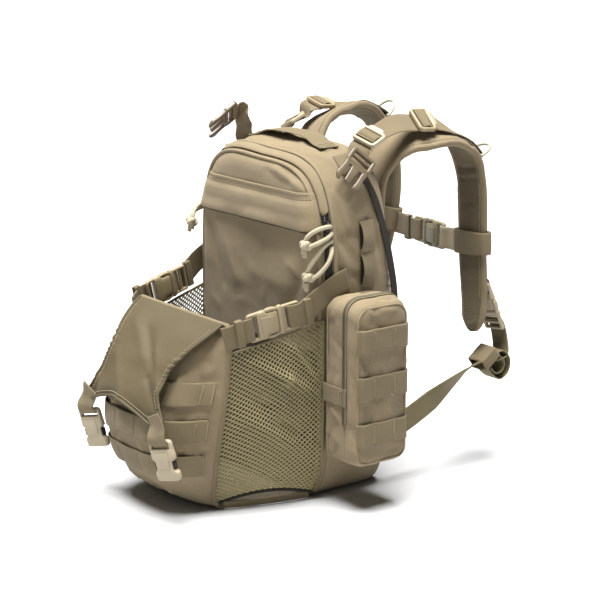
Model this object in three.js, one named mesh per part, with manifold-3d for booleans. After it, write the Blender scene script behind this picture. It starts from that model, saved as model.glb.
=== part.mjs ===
// Load-carrying backpack: a clamshell bag with a net-sided cargo pocket, a side pouch and a padded harness.
// Millimetres, +Z up, standing on Z = 0. -Y is the outer front, +Y the side that lies on the wearer's back.
import * as THREE from 'three';
import { mergeVertices } from 'three/addons/utils/BufferGeometryUtils.js';
import Module from 'manifold-3d';

const wasm = await Module();
wasm.setup();

// Driving dimensions
const seamGap = 0.5;
const clothThick = 2;
const webbing = { width: 25.4, thick: 1.8 };
const buckleThick = 5;

// Main bag, outlines across the wearer at stations from the front to the back
const bagMiddle = 190;
const bagRound = { top: 4, base: 6, baseDrop: 6 };
const bagSides = 32;
const bagSections = [
  { y: -61, half: 96, top: 350, lift: 10 },
  { y: -59.5, half: 101, top: 356, lift: 6 },
  { y: -56, half: 106, top: 361, lift: 2.5 },
  { y: -50, half: 110, top: 365, lift: 0.6 },
  { y: -44, half: 111.5, top: 368, lift: 0 },
  { y: -10, half: 113, top: 380, lift: 0 },
  { y: 20, half: 112.5, top: 378, lift: 0 },
  { y: 34, half: 109, top: 370, lift: 0 },
  { y: 41, half: 103, top: 361, lift: 4 },
  { y: 46, half: 94, top: 350, lift: 12 },
];
const zipSeamY = -46;
const backSeamY = 38;
const frontDome = 3;

// Cargo pocket, from its rim down the front and under the base
const pocketRound = 4;
const pocketSections = [
  { z: 207, centre: -157, edge: -156, half: 84 },
  { z: 197, centre: -172, edge: -156, half: 86 },
  { z: 180, centre: -192, edge: -157, half: 88 },
  { z: 150, centre: -213, edge: -160, half: 88 },
  { z: 120, centre: -227, edge: -164, half: 87 },
  { z: 90, centre: -231, edge: -167, half: 84 },
  { z: 60, centre: -226, edge: -168, half: 78 },
  { z: 30, centre: -208, edge: -166, half: 70 },
  { z: 12, centre: -186, edge: -162, half: 63 },
  { z: 4, centre: -170, edge: -156, half: 62 },
  { z: 0, centre: -150, edge: -146, half: 72 },
  { z: 0, centre: -124, edge: -122, half: 92 },
  { z: 0, centre: -57, edge: -57, half: 92 },
];
const shieldSections = pocketSections.slice(0, 10);

// Side pouch, outlines from the bag's side outward
const pouchMiddle = { y: -19, z: 142 };
const pouchSections = [
  { x: 113.5, halfY: 31, top: 222, base: 60, corner: 20 },
  { x: 119, halfY: 34, top: 227, base: 55, corner: 24 },
  { x: 142, halfY: 35, top: 232, base: 52, corner: 26 },
  { x: 160, halfY: 35, top: 230, base: 52, corner: 26 },
  { x: 167, halfY: 33, top: 226, base: 55, corner: 24 },
  { x: 170, halfY: 28, top: 219, base: 61, corner: 20 },
];
const pouchSeamX = 150;
const pouchSides = 20;

// Load-bearing webbing rows, height of each row's top edge
const rowHeight = 25;
const rowThick = 1.5;
const pocketRows = [
  { name: 'upper', top: 150 },
  { name: 'middle', top: 110 },
  { name: 'lower', top: 70 },
];
const pouchRowBends = [{ y: -34, x: 169.6 }, { y: -29, x: 172.4 }, { y: 29, x: 172.4 }, { y: 34, x: 169.6 }];
const pouchRows = [
  { name: 'upper', top: 203 },
  { name: 'middle', top: 152 },
  { name: 'lower', top: 101 },
];

// Shoulder pad, stations from the back panel over the shoulder to the tip
const padSize = { thick: 11, sides: 10, steps: 16 };
const padStations = [
  { x: 58, y: 52.6, z: 262, width: 44, reach: 0, lift: 0, bank: 0 },
  { x: 59, y: 53, z: 305, width: 45, reach: 0, lift: 0.1, bank: 0 },
  { x: 62, y: 58, z: 346, width: 46, reach: 0, lift: 0.4, bank: 0.1 },
  { x: 70, y: 78, z: 371, width: 46, reach: 0.1, lift: 0.8, bank: 0.25 },
  { x: 80, y: 112, z: 379, width: 46, reach: 0.4, lift: 1, bank: 0.35 },
  { x: 86, y: 142, z: 377, width: 46, reach: 0.7, lift: 1, bank: 0.25 },
  { x: 87, y: 164, z: 360, width: 46, reach: 0.9, lift: 0.9, bank: 0 },
  { x: 87, y: 176, z: 329, width: 46, reach: 1, lift: 0.6, bank: 0 },
  { x: 87, y: 179, z: 288, width: 45, reach: 1, lift: 0.2, bank: 0 },
  { x: 89, y: 179, z: 240, width: 43, reach: 0.7, lift: 0, bank: 0 },
  { x: 94, y: 178, z: 195, width: 39, reach: 0.3, lift: 0, bank: 0 },
  { x: 99, y: 174, z: 153, width: 30, reach: 0.1, lift: 0, bank: 0 },
];
const padPose = { right: { reach: 0, lift: 0 }, left: { reach: 20, lift: 12 } };

// Finishes
const finishes = {
  cloth: { color: 0xa39779, roughness: 0.9, metalness: 0 },
  coated: { color: 0x9a8c6a, roughness: 0.55, metalness: 0 },
  net: { color: 0x8f8666, roughness: 0.9, metalness: 0 },
  webbing: { color: 0xa09475, roughness: 0.85, metalness: 0 },
  plastic: { color: 0xb0a084, roughness: 0.45, metalness: 0 },
  zip: { color: 0x1d1b18, roughness: 0.6, metalness: 0 },
  cord: { color: 0xd8d0bc, roughness: 0.9, metalness: 0 },
  dark: { color: 0x2b2620, roughness: 0.85, metalness: 0 },
};

const backpack = new THREE.Group();

function addPiece(name, geometry, finish) {
  const material = new THREE.MeshStandardMaterial({ ...finishes[finish], flatShading: true });
  const mesh = new THREE.Mesh(geometry, material);
  mesh.name = name;
  backpack.add(mesh);
  return mesh;
}

const sides = [{ name: 'right', sign: 1 }, { name: 'left', sign: -1 }];
const vec = (x, y, z) => new THREE.Vector3(x, y, z);
const lerp = THREE.MathUtils.lerp;
const signedPower = (value, power) => Math.sign(value) * Math.abs(value) ** power;

// A row of a table at any value of one column, between its neighbouring rows
function rowAt(table, column, value) {
  const falling = table[0][column] > table[table.length - 1][column];
  const rows = falling ? [...table].reverse() : table;
  let k = rows.findIndex((row) => row[column] >= value);
  k = k < 0 ? rows.length - 1 : Math.max(k, 1);
  const [a, b] = [rows[k - 1], rows[k]];
  const share = THREE.MathUtils.clamp((value - a[column]) / (b[column] - a[column]), 0, 1);
  return Object.fromEntries(Object.keys(a).map((key) => [key, lerp(a[key], b[key], share)]));
}

// Triangles into a geometry, turned over if they enclose a negative volume
function closedGeometry(points, triangles) {
  let volume = 0;
  for (const [a, b, c] of triangles) volume += points[a].dot(points[b].clone().cross(points[c]));
  const turned = volume < 0 ? triangles.map(([a, b, c]) => [a, c, b]) : triangles;
  const places = points.flatMap((p) => [p.x, p.y, p.z]);
  const geometry = new THREE.BufferGeometry();
  geometry.setAttribute('position', new THREE.Float32BufferAttribute(places, 3));
  geometry.setIndex(turned.flat());
  return geometry;
}

// A cloth wall: an outer skin given as rows of points, and an inner skin a thickness behind it.
// The next column crossed with the next row points inward, or outward where turned.
// wrap joins each row's ends, pole closes the last row onto its own middle.
function clothWall(rows, thick, { wrap = false, pole = false, turned = false } = {}) {
  const count = rows[0].length;
  const at = (r, c) => rows[THREE.MathUtils.clamp(r, 0, rows.length - 1)][
    wrap ? (c + count) % count : THREE.MathUtils.clamp(c, 0, count - 1)];
  const normalAt = (r, c) => {
    const along = at(r, c + 1).clone().sub(at(r, c - 1));
    return along.cross(at(r + 1, c).clone().sub(at(r - 1, c))).normalize();
  };
  const points = rows.flat();
  const depth = turned ? -thick : thick;
  const inner = rows.map((row, r) => row.map((p, c) => p.clone().addScaledVector(normalAt(r, c), depth)));
  points.push(...inner.flat());
  const shift = rows.length * count;
  const triangles = [];
  const quad = (a, b, c, d) => triangles.push([a, b, c], [a, c, d]);
  const across = wrap ? count : count - 1;
  for (let r = 0; r < rows.length - 1; r++) {
    for (let c = 0; c < across; c++) {
      const [a, b] = [r * count + c, r * count + ((c + 1) % count)];
      quad(a, b, b + count, a + count);
      quad(shift + a, shift + a + count, shift + b + count, shift + b);
    }
  }
  const last = (rows.length - 1) * count;
  for (let c = 0; c < across; c++) {
    const n = (c + 1) % count;
    quad(n, c, shift + c, shift + n);
    if (!pole) quad(last + c, last + n, shift + last + n, shift + last + c);
  }
  if (!wrap) {
    for (let r = 0; r < rows.length - 1; r++) {
      const [a, b] = [r * count, (r + 1) * count];
      quad(a, b, shift + b, shift + a);
      quad(b + count - 1, a + count - 1, shift + a + count - 1, shift + b + count - 1);
    }
  }
  if (pole) {
    const middle = (row) => row.reduce((sum, p) => sum.add(p), vec(0, 0, 0)).divideScalar(count);
    points.push(middle(rows.at(-1)), middle(inner.at(-1)));
    for (let c = 0; c < count; c++) {
      const n = (c + 1) % count;
      triangles.push([last + c, last + n, points.length - 2]);
      triangles.push([shift + last + n, shift + last + c, points.length - 1]);
    }
  }
  return closedGeometry(points, triangles);
}

// A solid bar: rings of points along a path, with flat ends, or joined to itself
function ringBar(rings, { loop = false } = {}) {
  const count = rings[0].length;
  const triangles = [];
  const spans = loop ? rings.length : rings.length - 1;
  for (let r = 0; r < spans; r++) {
    const [base, next] = [r * count, ((r + 1) % rings.length) * count];
    for (let c = 0; c < count; c++) {
      const n = (c + 1) % count;
      triangles.push([base + c, base + n, next + n], [base + c, next + n, next + c]);
    }
  }
  if (!loop) {
    const last = (rings.length - 1) * count;
    for (let c = 1; c < count - 1; c++) {
      triangles.push([0, c + 1, c], [last, last + c, last + c + 1]);
    }
  }
  return closedGeometry(rings.flat(), triangles);
}

// A strap: a flat section carried along a smooth path, its width held to a given direction
function strap(path, { width = webbing.width, thick = webbing.thick, steps = 14 } = {}) {
  const curve = new THREE.CatmullRomCurve3(path.map((stop) => vec(...stop.at)), false, 'centripetal');
  const rings = [];
  for (let k = 0; k <= steps; k++) {
    const t = k / steps;
    const p = curve.getPoint(t);
    const tangent = curve.getTangent(t);
    const place = t * (path.length - 1);
    const [a, b] = [path[Math.floor(place)], path[Math.min(Math.floor(place) + 1, path.length - 1)]];
    const side = vec(...a.side).lerp(vec(...b.side), place % 1);
    side.addScaledVector(tangent, -side.dot(tangent)).normalize();
    const face = tangent.clone().cross(side);
    rings.push([[-1, -1], [1, -1], [1, 1], [-1, 1]].map(([w, h]) =>
      p.clone().addScaledVector(side, (w * width) / 2).addScaledVector(face, (h * thick) / 2)));
  }
  return ringBar(rings);
}

// Positions only, with shared corners
function bareGeometry(geometry) {
  geometry.deleteAttribute('normal');
  geometry.deleteAttribute('uv');
  return mergeVertices(geometry, 1e-4);
}

// A moulded plate: an outline with slots, lying in the plane of along and across
function outlineShape(points, slots = []) {
  const shape = new THREE.Shape(points.map(([x, y]) => new THREE.Vector2(x, y)));
  const corners = [[-1, -1], [1, -1], [1, 1], [-1, 1]];
  for (const { x, length, width } of slots) {
    const hole = corners.map(([u, v]) => new THREE.Vector2(x + (u * length) / 2, (v * width) / 2));
    shape.holes.push(new THREE.Path(hole));
  }
  return shape;
}

function plate(points, slots, thick) {
  const shape = outlineShape(points, slots);
  const geometry = new THREE.ExtrudeGeometry(shape, { depth: thick, bevelEnabled: false });
  geometry.translate(0, 0, -thick / 2);
  return bareGeometry(geometry);
}

// Stand a plate at a place, with its length along one direction and its face turned to another
function seat(mesh, at, along, face) {
  const forward = vec(...along).normalize();
  const out = vec(...face);
  out.addScaledVector(forward, -out.dot(forward)).normalize();
  const basis = new THREE.Matrix4().makeBasis(forward, out.clone().cross(forward), out);
  mesh.quaternion.setFromRotationMatrix(basis);
  mesh.position.set(...at);
}

// Mirror an outline given for one long edge
const bothEdges = (edge) => [...edge, ...edge.map(([x, y]) => [x, -y]).reverse()];

// The bag's outline at a station
function bagPoint(section, angle) {
  const [c, s] = [Math.cos(angle), Math.sin(angle)];
  const power = 2 / (s >= 0 ? bagRound.top : bagRound.base);
  const rise = s >= 0 ? section.top - bagMiddle : bagMiddle + bagRound.baseDrop;
  return vec(section.half * signedPower(c, power), section.y,
    Math.max(section.lift, bagMiddle + rise * signedPower(s, power)));
}

const bagSection = (y) => rowAt(bagSections, 'y', y);
const bagAngle = (k) => ((k + 0.5) / bagSides) * 2 * Math.PI;

function bagRing(y) {
  const section = bagSection(y);
  return Array.from({ length: bagSides }, (_, k) => bagPoint(section, bagAngle(k)));
}

// Half width of the bag at a station and a height
function bagHalf(y, z) {
  const section = bagSection(y);
  const power = z >= bagMiddle ? bagRound.top : bagRound.base;
  const rise = z >= bagMiddle ? section.top - bagMiddle : bagMiddle + bagRound.baseDrop;
  return section.half * (1 - Math.abs((z - bagMiddle) / rise) ** power) ** (1 / power);
}

// Height of the bag's top at a station and a distance from the middle
function bagTop(y, x) {
  const section = bagSection(y);
  const share = 1 - Math.abs(x / section.half) ** bagRound.top;
  return bagMiddle + (section.top - bagMiddle) * share ** (1 / bagRound.top);
}

// Rings that close an end of the bag, drawn in to its middle and domed outward
function capRings(y, dome, shares) {
  const edge = bagRing(y);
  return shares.map((share) => edge.map((p) => vec(p.x * share, y + dome * (1 - share * share),
    lerp(bagMiddle, p.z, share))));
}

// Main bag
const frontStations = [zipSeamY - seamGap / 2, -51, -56, -59.5, -61];
addPiece('front_panel', clothWall([...frontStations.map(bagRing), ...capRings(-61, -frontDome, [0.75, 0.35])],
  clothThick, { wrap: true, pole: true, turned: true }), 'cloth');

const wallStations = [zipSeamY + seamGap / 2, -28, -10, 20, 31, backSeamY - seamGap / 2];
addPiece('bag_wall', clothWall(wallStations.map(bagRing), clothThick, { wrap: true }), 'cloth');

const backStations = [backSeamY + seamGap * 1.5, 41, 44, 46];
addPiece('back_panel', clothWall([...backStations.map(bagRing), ...capRings(46, 0, [0.5])],
  clothThick * 1.5, { wrap: true, pole: true }), 'cloth');

// Strips that follow the bag's arch: a range of outline steps, and an offset out from the wall
function archStrip(fromStep, toStep, yEdges, standOff, thick) {
  const rows = yEdges.map((y) => {
    const section = bagSection(y);
    const wide = { ...section, half: section.half + standOff, top: section.top + standOff };
    return Array.from({ length: toStep - fromStep + 1 }, (_, k) => bagPoint(wide, bagAngle(fromStep + k)));
  });
  return clothWall(rows, thick);
}

// Main zip with its three sliders
const zip = { thick: 1.2, standOff: 2.1, edges: [-50, -46, -42], fromStep: 0, toStep: 15 };
const zipSliders = [
  { name: 'right_upper', side: 1, z: 303 },
  { name: 'right_lower', side: 1, z: 287 },
  { name: 'left', side: -1, z: 298 },
];
const sliderSize = { along: 12, across: 7, tall: 3 };

function asManifold(geometry) {
  const merged = bareGeometry(geometry.clone());
  return new wasm.Manifold(new wasm.Mesh({
    numProp: 3,
    vertProperties: new Float32Array(merged.attributes.position.array),
    triVerts: new Uint32Array(merged.index.array),
  }));
}

function asGeometry(solid) {
  const { vertProperties, triVerts } = solid.getMesh();
  const geometry = new THREE.BufferGeometry();
  geometry.setAttribute('position', new THREE.Float32BufferAttribute(vertProperties, 3));
  geometry.setIndex(Array.from(triVerts));
  return geometry;
}

const zipMiddleY = zip.edges[1];
const sliderPlace = ({ side, z }) => vec(side * (bagHalf(zipMiddleY, z) + zip.standOff), zipMiddleY, z);
let zipSolid = asManifold(archStrip(zip.fromStep, zip.toStep, zip.edges, zip.standOff, zip.thick));
for (const slider of zipSliders) {
  const box = new THREE.BoxGeometry(sliderSize.tall, sliderSize.across, sliderSize.along);
  const at = sliderPlace(slider);
  box.translate(at.x + slider.side * 0.6, at.y, at.z);
  zipSolid = zipSolid.add(asManifold(box));
}
addPiece('main_zip', asGeometry(zipSolid), 'zip');

// Weather flap along the arch, over the zip from the left of the top to the right side
addPiece('zip_flap', archStrip(3, 12, [-54, -50, -46, -42, -38], 4.4, 1.5), 'cloth');

// Flap of the front pocket, a band across the upper front
const bandFlap = { half: 98, top: 336, base: 299, standOff: 2.6, columns: 8, thick: 1.6 };
function frontSurface(x, z, standOff) {
  const share = Math.min(1, Math.hypot(x / 96, (z - bagMiddle) / 165));
  return vec(x, -61 - frontDome * (1 - share * share) - standOff, z);
}
const bandRow = (z) => Array.from({ length: bandFlap.columns + 1 }, (_, k) => {
  const x = lerp(-bandFlap.half, bandFlap.half, k / bandFlap.columns);
  return frontSurface(x, z, bandFlap.standOff);
});
const bandHeights = [bandFlap.top, (bandFlap.top + bandFlap.base) / 2, bandFlap.base];
addPiece('front_band_flap', clothWall(bandHeights.map(bandRow), bandFlap.thick), 'cloth');

// Grab handle, a webbing bow over the top
const handle = { half: 52, y: -8, rise: 9, lie: 16 };
const handleTop = (x) => bagTop(handle.y, x) + webbing.thick / 2 + seamGap;
const handleHalf = [
  { x: handle.half + handle.lie, rise: 1.4 },
  { x: handle.half, rise: 0.4 },
  { x: handle.half * 0.7, rise: handle.rise * 0.7 },
];
const handleStops = [
  ...handleHalf.map(({ x, rise }) => ({ x: -x, rise })), { x: 0, rise: handle.rise }, ...handleHalf.reverse(),
];
addPiece('grab_handle', strap(handleStops.map(({ x, rise }) => (
  { at: [x, handle.y, handleTop(x) + rise], side: [0, 1, 0] })), { steps: 16 }), 'webbing');

// Cargo pocket front, a domed shield that turns under as the pocket's floor
const pocketColumns = 12;
function pocketPoint(section, s) {
  const crown = 1 - Math.abs(s) ** pocketRound;
  return vec(section.half * s, lerp(section.edge, section.centre, crown), section.z);
}
const pocketShares = Array.from({ length: pocketColumns + 1 }, (_, k) =>
  Math.sin(((k / pocketColumns) * 2 - 1) * Math.PI / 2));
const pocketRow = (section) => pocketShares.map((s) => pocketPoint(section, s));
addPiece('pocket_front', clothWall(pocketSections.map(pocketRow), clothThick), 'cloth');

// Net sides of the cargo pocket, from the shield's edge back to the bag
const net = {
  columns: 8, rows: 8, thick: 1.4, bulge: 7, arch: 13, low: 7, rearY: -52, frontTop: 178, rearTop: 203,
};
function netPoint(side, a, b) {
  const top = lerp(net.frontTop, net.rearTop, a);
  const low = net.low + net.arch * Math.sin(Math.PI * a);
  const z = lerp(top, low, b);
  const edge = rowAt(shieldSections, 'z', z);
  const front = vec(edge.half + 0.3, edge.edge + 1, z);
  const rear = vec(bagHalf(net.rearY, z) + net.thick + 1, net.rearY, z);
  const p = front.lerp(rear, a);
  p.x += net.bulge * Math.sin(Math.PI * a) * Math.sin(Math.PI * lerp(0.15, 0.9, b));
  return vec(side * p.x, p.y, p.z);
}
for (const { name, sign } of sides) {
  const rows = Array.from({ length: net.rows + 1 }, (_, r) => {
    const fall = Math.sin((r / net.rows) * Math.PI / 2);
    return Array.from({ length: net.columns + 1 }, (_, c) =>
      netPoint(sign, sign > 0 ? c / net.columns : 1 - c / net.columns, fall));
  });
  addPiece(`pocket_net_${name}`, clothWall(rows, net.thick), 'net');
}

// Coated flap turned out over the shield, hourglass wide with two hanging corners
const flap = { columns: 12, thick: 1.5, rim: 208 };
const flapRows = [
  { drop: 0, half: 80, centre: -159.4, corner: -159.4, sag: 0 },
  { drop: 12, half: 76, centre: -179, corner: -178, sag: 0 },
  { drop: 30, half: 66, centre: -200, corner: -199, sag: 0 },
  { drop: 50, half: 58, centre: -217, corner: -214, sag: -1 },
  { drop: 70, half: 58, centre: -229, corner: -224, sag: -6 },
  { drop: 88, half: 66, centre: -236, corner: -230, sag: -12 },
  { drop: 100, half: 74, centre: -238, corner: -231, sag: -16 },
];
const flapRow = ({ drop, half, centre, corner, sag }) => Array.from({ length: flap.columns + 1 }, (_, k) => {
  const s = (k / flap.columns) * 2 - 1;
  const middle = 1 - s * s;
  return vec(half * s, lerp(corner, centre, middle), flap.rim - drop - sag * middle);
});
addPiece('pocket_flap', clothWall(flapRows.map(flapRow), flap.thick), 'coated');

// Webbing rows on the shield and on the pouch
const pocketRowFit = { reach: 0.985, spread: 1.03, standOff: 3.2 };
for (const row of pocketRows) {
  const edges = [row.top, row.top - rowHeight / 2, row.top - rowHeight].map((z) => {
    const section = rowAt(shieldSections, 'z', z);
    return pocketShares.map((share) => {
      const s = share * pocketRowFit.reach;
      const p = pocketPoint(section, s);
      return vec(p.x * pocketRowFit.spread, p.y - pocketRowFit.standOff * (1 - Math.abs(s) / 2), p.z);
    });
  });
  addPiece(`pocket_row_${row.name}`, clothWall(edges, rowThick), 'webbing');
}

// Side pouch: an inner tray on the bag and an outer lid, parted by a zip
function pouchRing(x) {
  const { halfY, top, base, corner } = rowAt(pouchSections, 'x', x);
  const ring = [];
  const corners = [
    { y: halfY - corner, z: top - corner, turn: 0 }, { y: corner - halfY, z: top - corner, turn: 1 },
    { y: corner - halfY, z: base + corner, turn: 2 }, { y: halfY - corner, z: base + corner, turn: 3 },
  ];
  const perCorner = pouchSides / 4;
  for (const { y, z, turn } of corners) {
    for (let k = 0; k < perCorner; k++) {
      const angle = (turn + k / (perCorner - 1)) * Math.PI / 2;
      ring.push(vec(x, pouchMiddle.y + y + corner * Math.cos(angle), z + corner * Math.sin(angle)));
    }
  }
  return ring;
}
const pouchCap = (x, shares) => shares.map((share) => pouchRing(x).map((p) => vec(x,
  lerp(pouchMiddle.y, p.y, share), lerp(pouchMiddle.z, p.z, share))));
const pouchInner = pouchSections[0].x;
const pouchOuter = pouchSections.at(-1).x;
const trayRings = [pouchSeamX - seamGap / 2, 142, 130, 119, pouchInner].map(pouchRing);
addPiece('pouch_tray', clothWall([...trayRings, ...pouchCap(pouchInner, [0.5])], clothThick,
  { wrap: true, pole: true }), 'cloth');
const lidRings = [pouchSeamX + seamGap / 2, 160, 167, pouchOuter].map(pouchRing);
addPiece('pouch_lid', clothWall([...lidRings, ...pouchCap(pouchOuter, [0.5])], clothThick,
  { wrap: true, pole: true, turned: true }), 'cloth');

const pouchZip = { half: 4, standOff: 1.8, thick: 1.2, from: 0, to: 9 };
const pouchZipRow = (x) => pouchRing(x).slice(pouchZip.from, pouchZip.to + 1).map((p) => {
  const out = vec(0, p.y - pouchMiddle.y, p.z - pouchMiddle.z - 40).normalize();
  return p.addScaledVector(out, pouchZip.standOff);
});
const pouchZipEdges = [pouchSeamX - pouchZip.half, pouchSeamX + pouchZip.half];
addPiece('pouch_zip', clothWall(pouchZipEdges.map(pouchZipRow), pouchZip.thick, { turned: true }), 'zip');

for (const row of pouchRows) {
  const edges = [row.top, row.top - rowHeight].map((z) => pouchRowBends.map(({ y, x }) =>
    vec(x, pouchMiddle.y + y, z)));
  addPiece(`pouch_row_${row.name}`, clothWall(edges, rowThick), 'webbing');
}

// Moulded buckles, each an outline of one long edge and its webbing slots
const fastened = {
  edge: [[-30, 13], [-27, 16], [-10, 16], [-8, 12.5], [4, 12.5], [6, 16], [10, 16], [12, 14.5], [28, 14.5],
    [30, 12.5]],
  slots: [
    { x: -24.5, length: 5, width: 26.8 },
    { x: 17, length: 5, width: 26.6, lead: 15 },
    { x: 25, length: 4, width: 26.4 },
  ],
};
const socketHalf = {
  edge: [[-22, 13], [-19, 16], [-2, 16], [0, 12.5], [11, 12.5], [13, 16], [20, 16], [22, 14]],
  slots: [{ x: -16.5, length: 5, width: 26.8 }],
};
const plugHalf = {
  edge: [[-26, 9], [-24, 12], [-18, 15.5], [-15, 12.5], [-4, 11.5], [-2, 15.5], [16, 15.5], [18, 13.5]],
  slots: [{ x: 3, length: 5, width: 26.8 }, { x: 12, length: 5, width: 26.6 }],
};
const ladderLock = {
  edge: [[-11, 12], [-9, 15.5], [9, 15.5], [11, 12.5]],
  slots: [{ x: -5.5, length: 5, width: 26.8 }, { x: 5.5, length: 5, width: 26.6 }],
};

function addBuckle(name, kind, at, along, face) {
  const mesh = addPiece(name, plate(bothEdges(kind.edge), kind.slots, buckleThick), 'plastic');
  seat(mesh, at, along, face);
  return mesh;
}

// Strap stops that come in over a buckle's end bar and go down through a slot
function tuckStops(buckle, { x: slotX, lead = 9 }, fromEnd, near) {
  const over = buckleThick / 2 + seamGap + webbing.thick / 2;
  buckle.updateMatrixWorld();
  const across = vec(0, 1, 0).applyQuaternion(buckle.quaternion);
  const side = across.multiplyScalar(Math.sign(across.dot(vec(...near)))).toArray();
  const dip = [
    { back: lead, height: over }, { back: 3.5, height: over }, { back: 0.8, height: over - 0.9 },
    { back: 0, height: 0 }, { back: 0, height: -buckleThick / 2 },
  ];
  return dip.map(({ back, height }) => (
    { at: buckle.localToWorld(vec(slotX + fromEnd * back, 0, height)).toArray(), side }));
}

// Closing straps of the cargo pocket, one each side, with a fastened buckle
const sideBuckle = { at: [102, -111, 209], along: [12, 60, 12], face: [1, -0.2, -0.05] };
for (const { name, sign } of sides) {
  const flip = ([x, y, z]) => [x * sign, y, z];
  const upright = [0, -0.19, 0.98];
  const buckle = addBuckle(`side_buckle_${name}`, fastened,
    flip(sideBuckle.at), flip(sideBuckle.along), flip(sideBuckle.face));
  addPiece(`side_strap_front_${name}`, strap([
    { at: flip([86.5, -164, 194.5]), side: upright }, { at: flip([92, -157.5, 196.5]), side: upright },
    ...tuckStops(buckle, fastened.slots[0], -1, upright),
  ], { steps: 14 }), 'webbing');
  addPiece(`side_strap_rear_${name}`, strap([
    { at: flip([113.8, -22, 244]), side: upright }, { at: flip([115.8, -40, 239]), side: upright },
    { at: flip([115.6, -60, 229]), side: upright },
    ...tuckStops(buckle, fastened.slots[1], 1, upright),
  ], { steps: 16 }), 'webbing');
}

// Hanging halves of the flap's buckles, each on a webbing tab at a flap corner
const flapTab = { x: 71, y: -233.8, width: 25, buckleZ: 74, lean: 0.18 };
for (const { name, sign } of sides) {
  const across = [1, 0, 0];
  const buckle = addBuckle(`flap_buckle_${name}`, socketHalf,
    [sign * flapTab.x, flapTab.y + 4, flapTab.buckleZ], [0, flapTab.lean, -1], [0, -1, -flapTab.lean]);
  addPiece(`flap_tab_${name}`, strap([
    { at: [sign * (flapTab.x - 8), flapTab.y - 3, 121], side: across },
    { at: [sign * (flapTab.x - 3), flapTab.y - 1.6, 110], side: across },
    ...tuckStops(buckle, socketHalf.slots[0], -1, across),
  ], { width: flapTab.width }), 'webbing');
}

// Shoulder pads
const padCurve = (sign, { reach, lift }) => Object.assign(new THREE.CatmullRomCurve3(padStations.map((stop) =>
  vec(stop.x * sign, stop.y + reach * stop.reach, stop.z + lift * stop.lift)), false, 'centripetal'), { sign });
function padValue(t, key) {
  const place = t * (padStations.length - 1);
  const a = padStations[Math.floor(place)];
  const b = padStations[Math.min(Math.floor(place) + 1, padStations.length - 1)];
  return lerp(a[key], b[key], place % 1);
}
// The bank lowers the pad's outer edge
function padFrame(curve, t) {
  const tangent = curve.getTangent(t);
  const level = vec(1, 0, -curve.sign * padValue(t, 'bank'));
  const across = level.addScaledVector(tangent, -level.dot(tangent)).normalize();
  return { at: curve.getPoint(t), tangent, across, out: across.clone().cross(tangent) };
}
function padRing(curve, t, grow = 0) {
  const { at, across, out } = padFrame(curve, t);
  const width = padValue(t, 'width') + 2 * grow;
  return Array.from({ length: padSize.sides }, (_, k) => {
    const angle = ((k + 0.5) / padSize.sides) * 2 * Math.PI;
    return at.clone().addScaledVector(across, (width / 2) * signedPower(Math.cos(angle), 0.5))
      .addScaledVector(out, (padSize.thick / 2 + grow) * signedPower(Math.sin(angle), 0.5));
  });
}
function padPoint(curve, t, offset) {
  const { at, out } = padFrame(curve, t);
  return at.addScaledVector(out, offset);
}

const keeperBand = { places: [0.765, 0.79, 0.815], standOff: 0.7, thick: 1.6 };
const ringWire = 1.6;
const dRing = { half: 14.8, tall: 22, steps: 9, sides: 6, place: { right: 0.575, left: 0.535 } };
const tailLow = padSize.thick / 2 + seamGap + webbing.thick / 2 + 0.6;
const barHeight = tailLow + webbing.thick / 2 + seamGap + ringWire;
const foldRadius = ringWire + seamGap + webbing.thick / 2;
const tip = { place: 0.885, gap: 0.6, tilt: 22 };
const lifterPose = {
  right: { cornerLock: [86, 28, 388], lock: [82, 107, 399], roll: [0.77, 0, -0.64] },
  left: { cornerLock: [86, 55, 384], lock: [81, 92, 403], roll: [0.97, 0, 0.25] },
};
const cornerPlug = {
  right: { at: [105, -3.6, 360.8], along: [-10, 36, 27], face: [0.78, -0.1, 0.5] },
  left: { at: [92, -36, 393.6], along: [0, 0.85, 0.53], face: [-0.78, 0.23, -0.59] },
};

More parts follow.
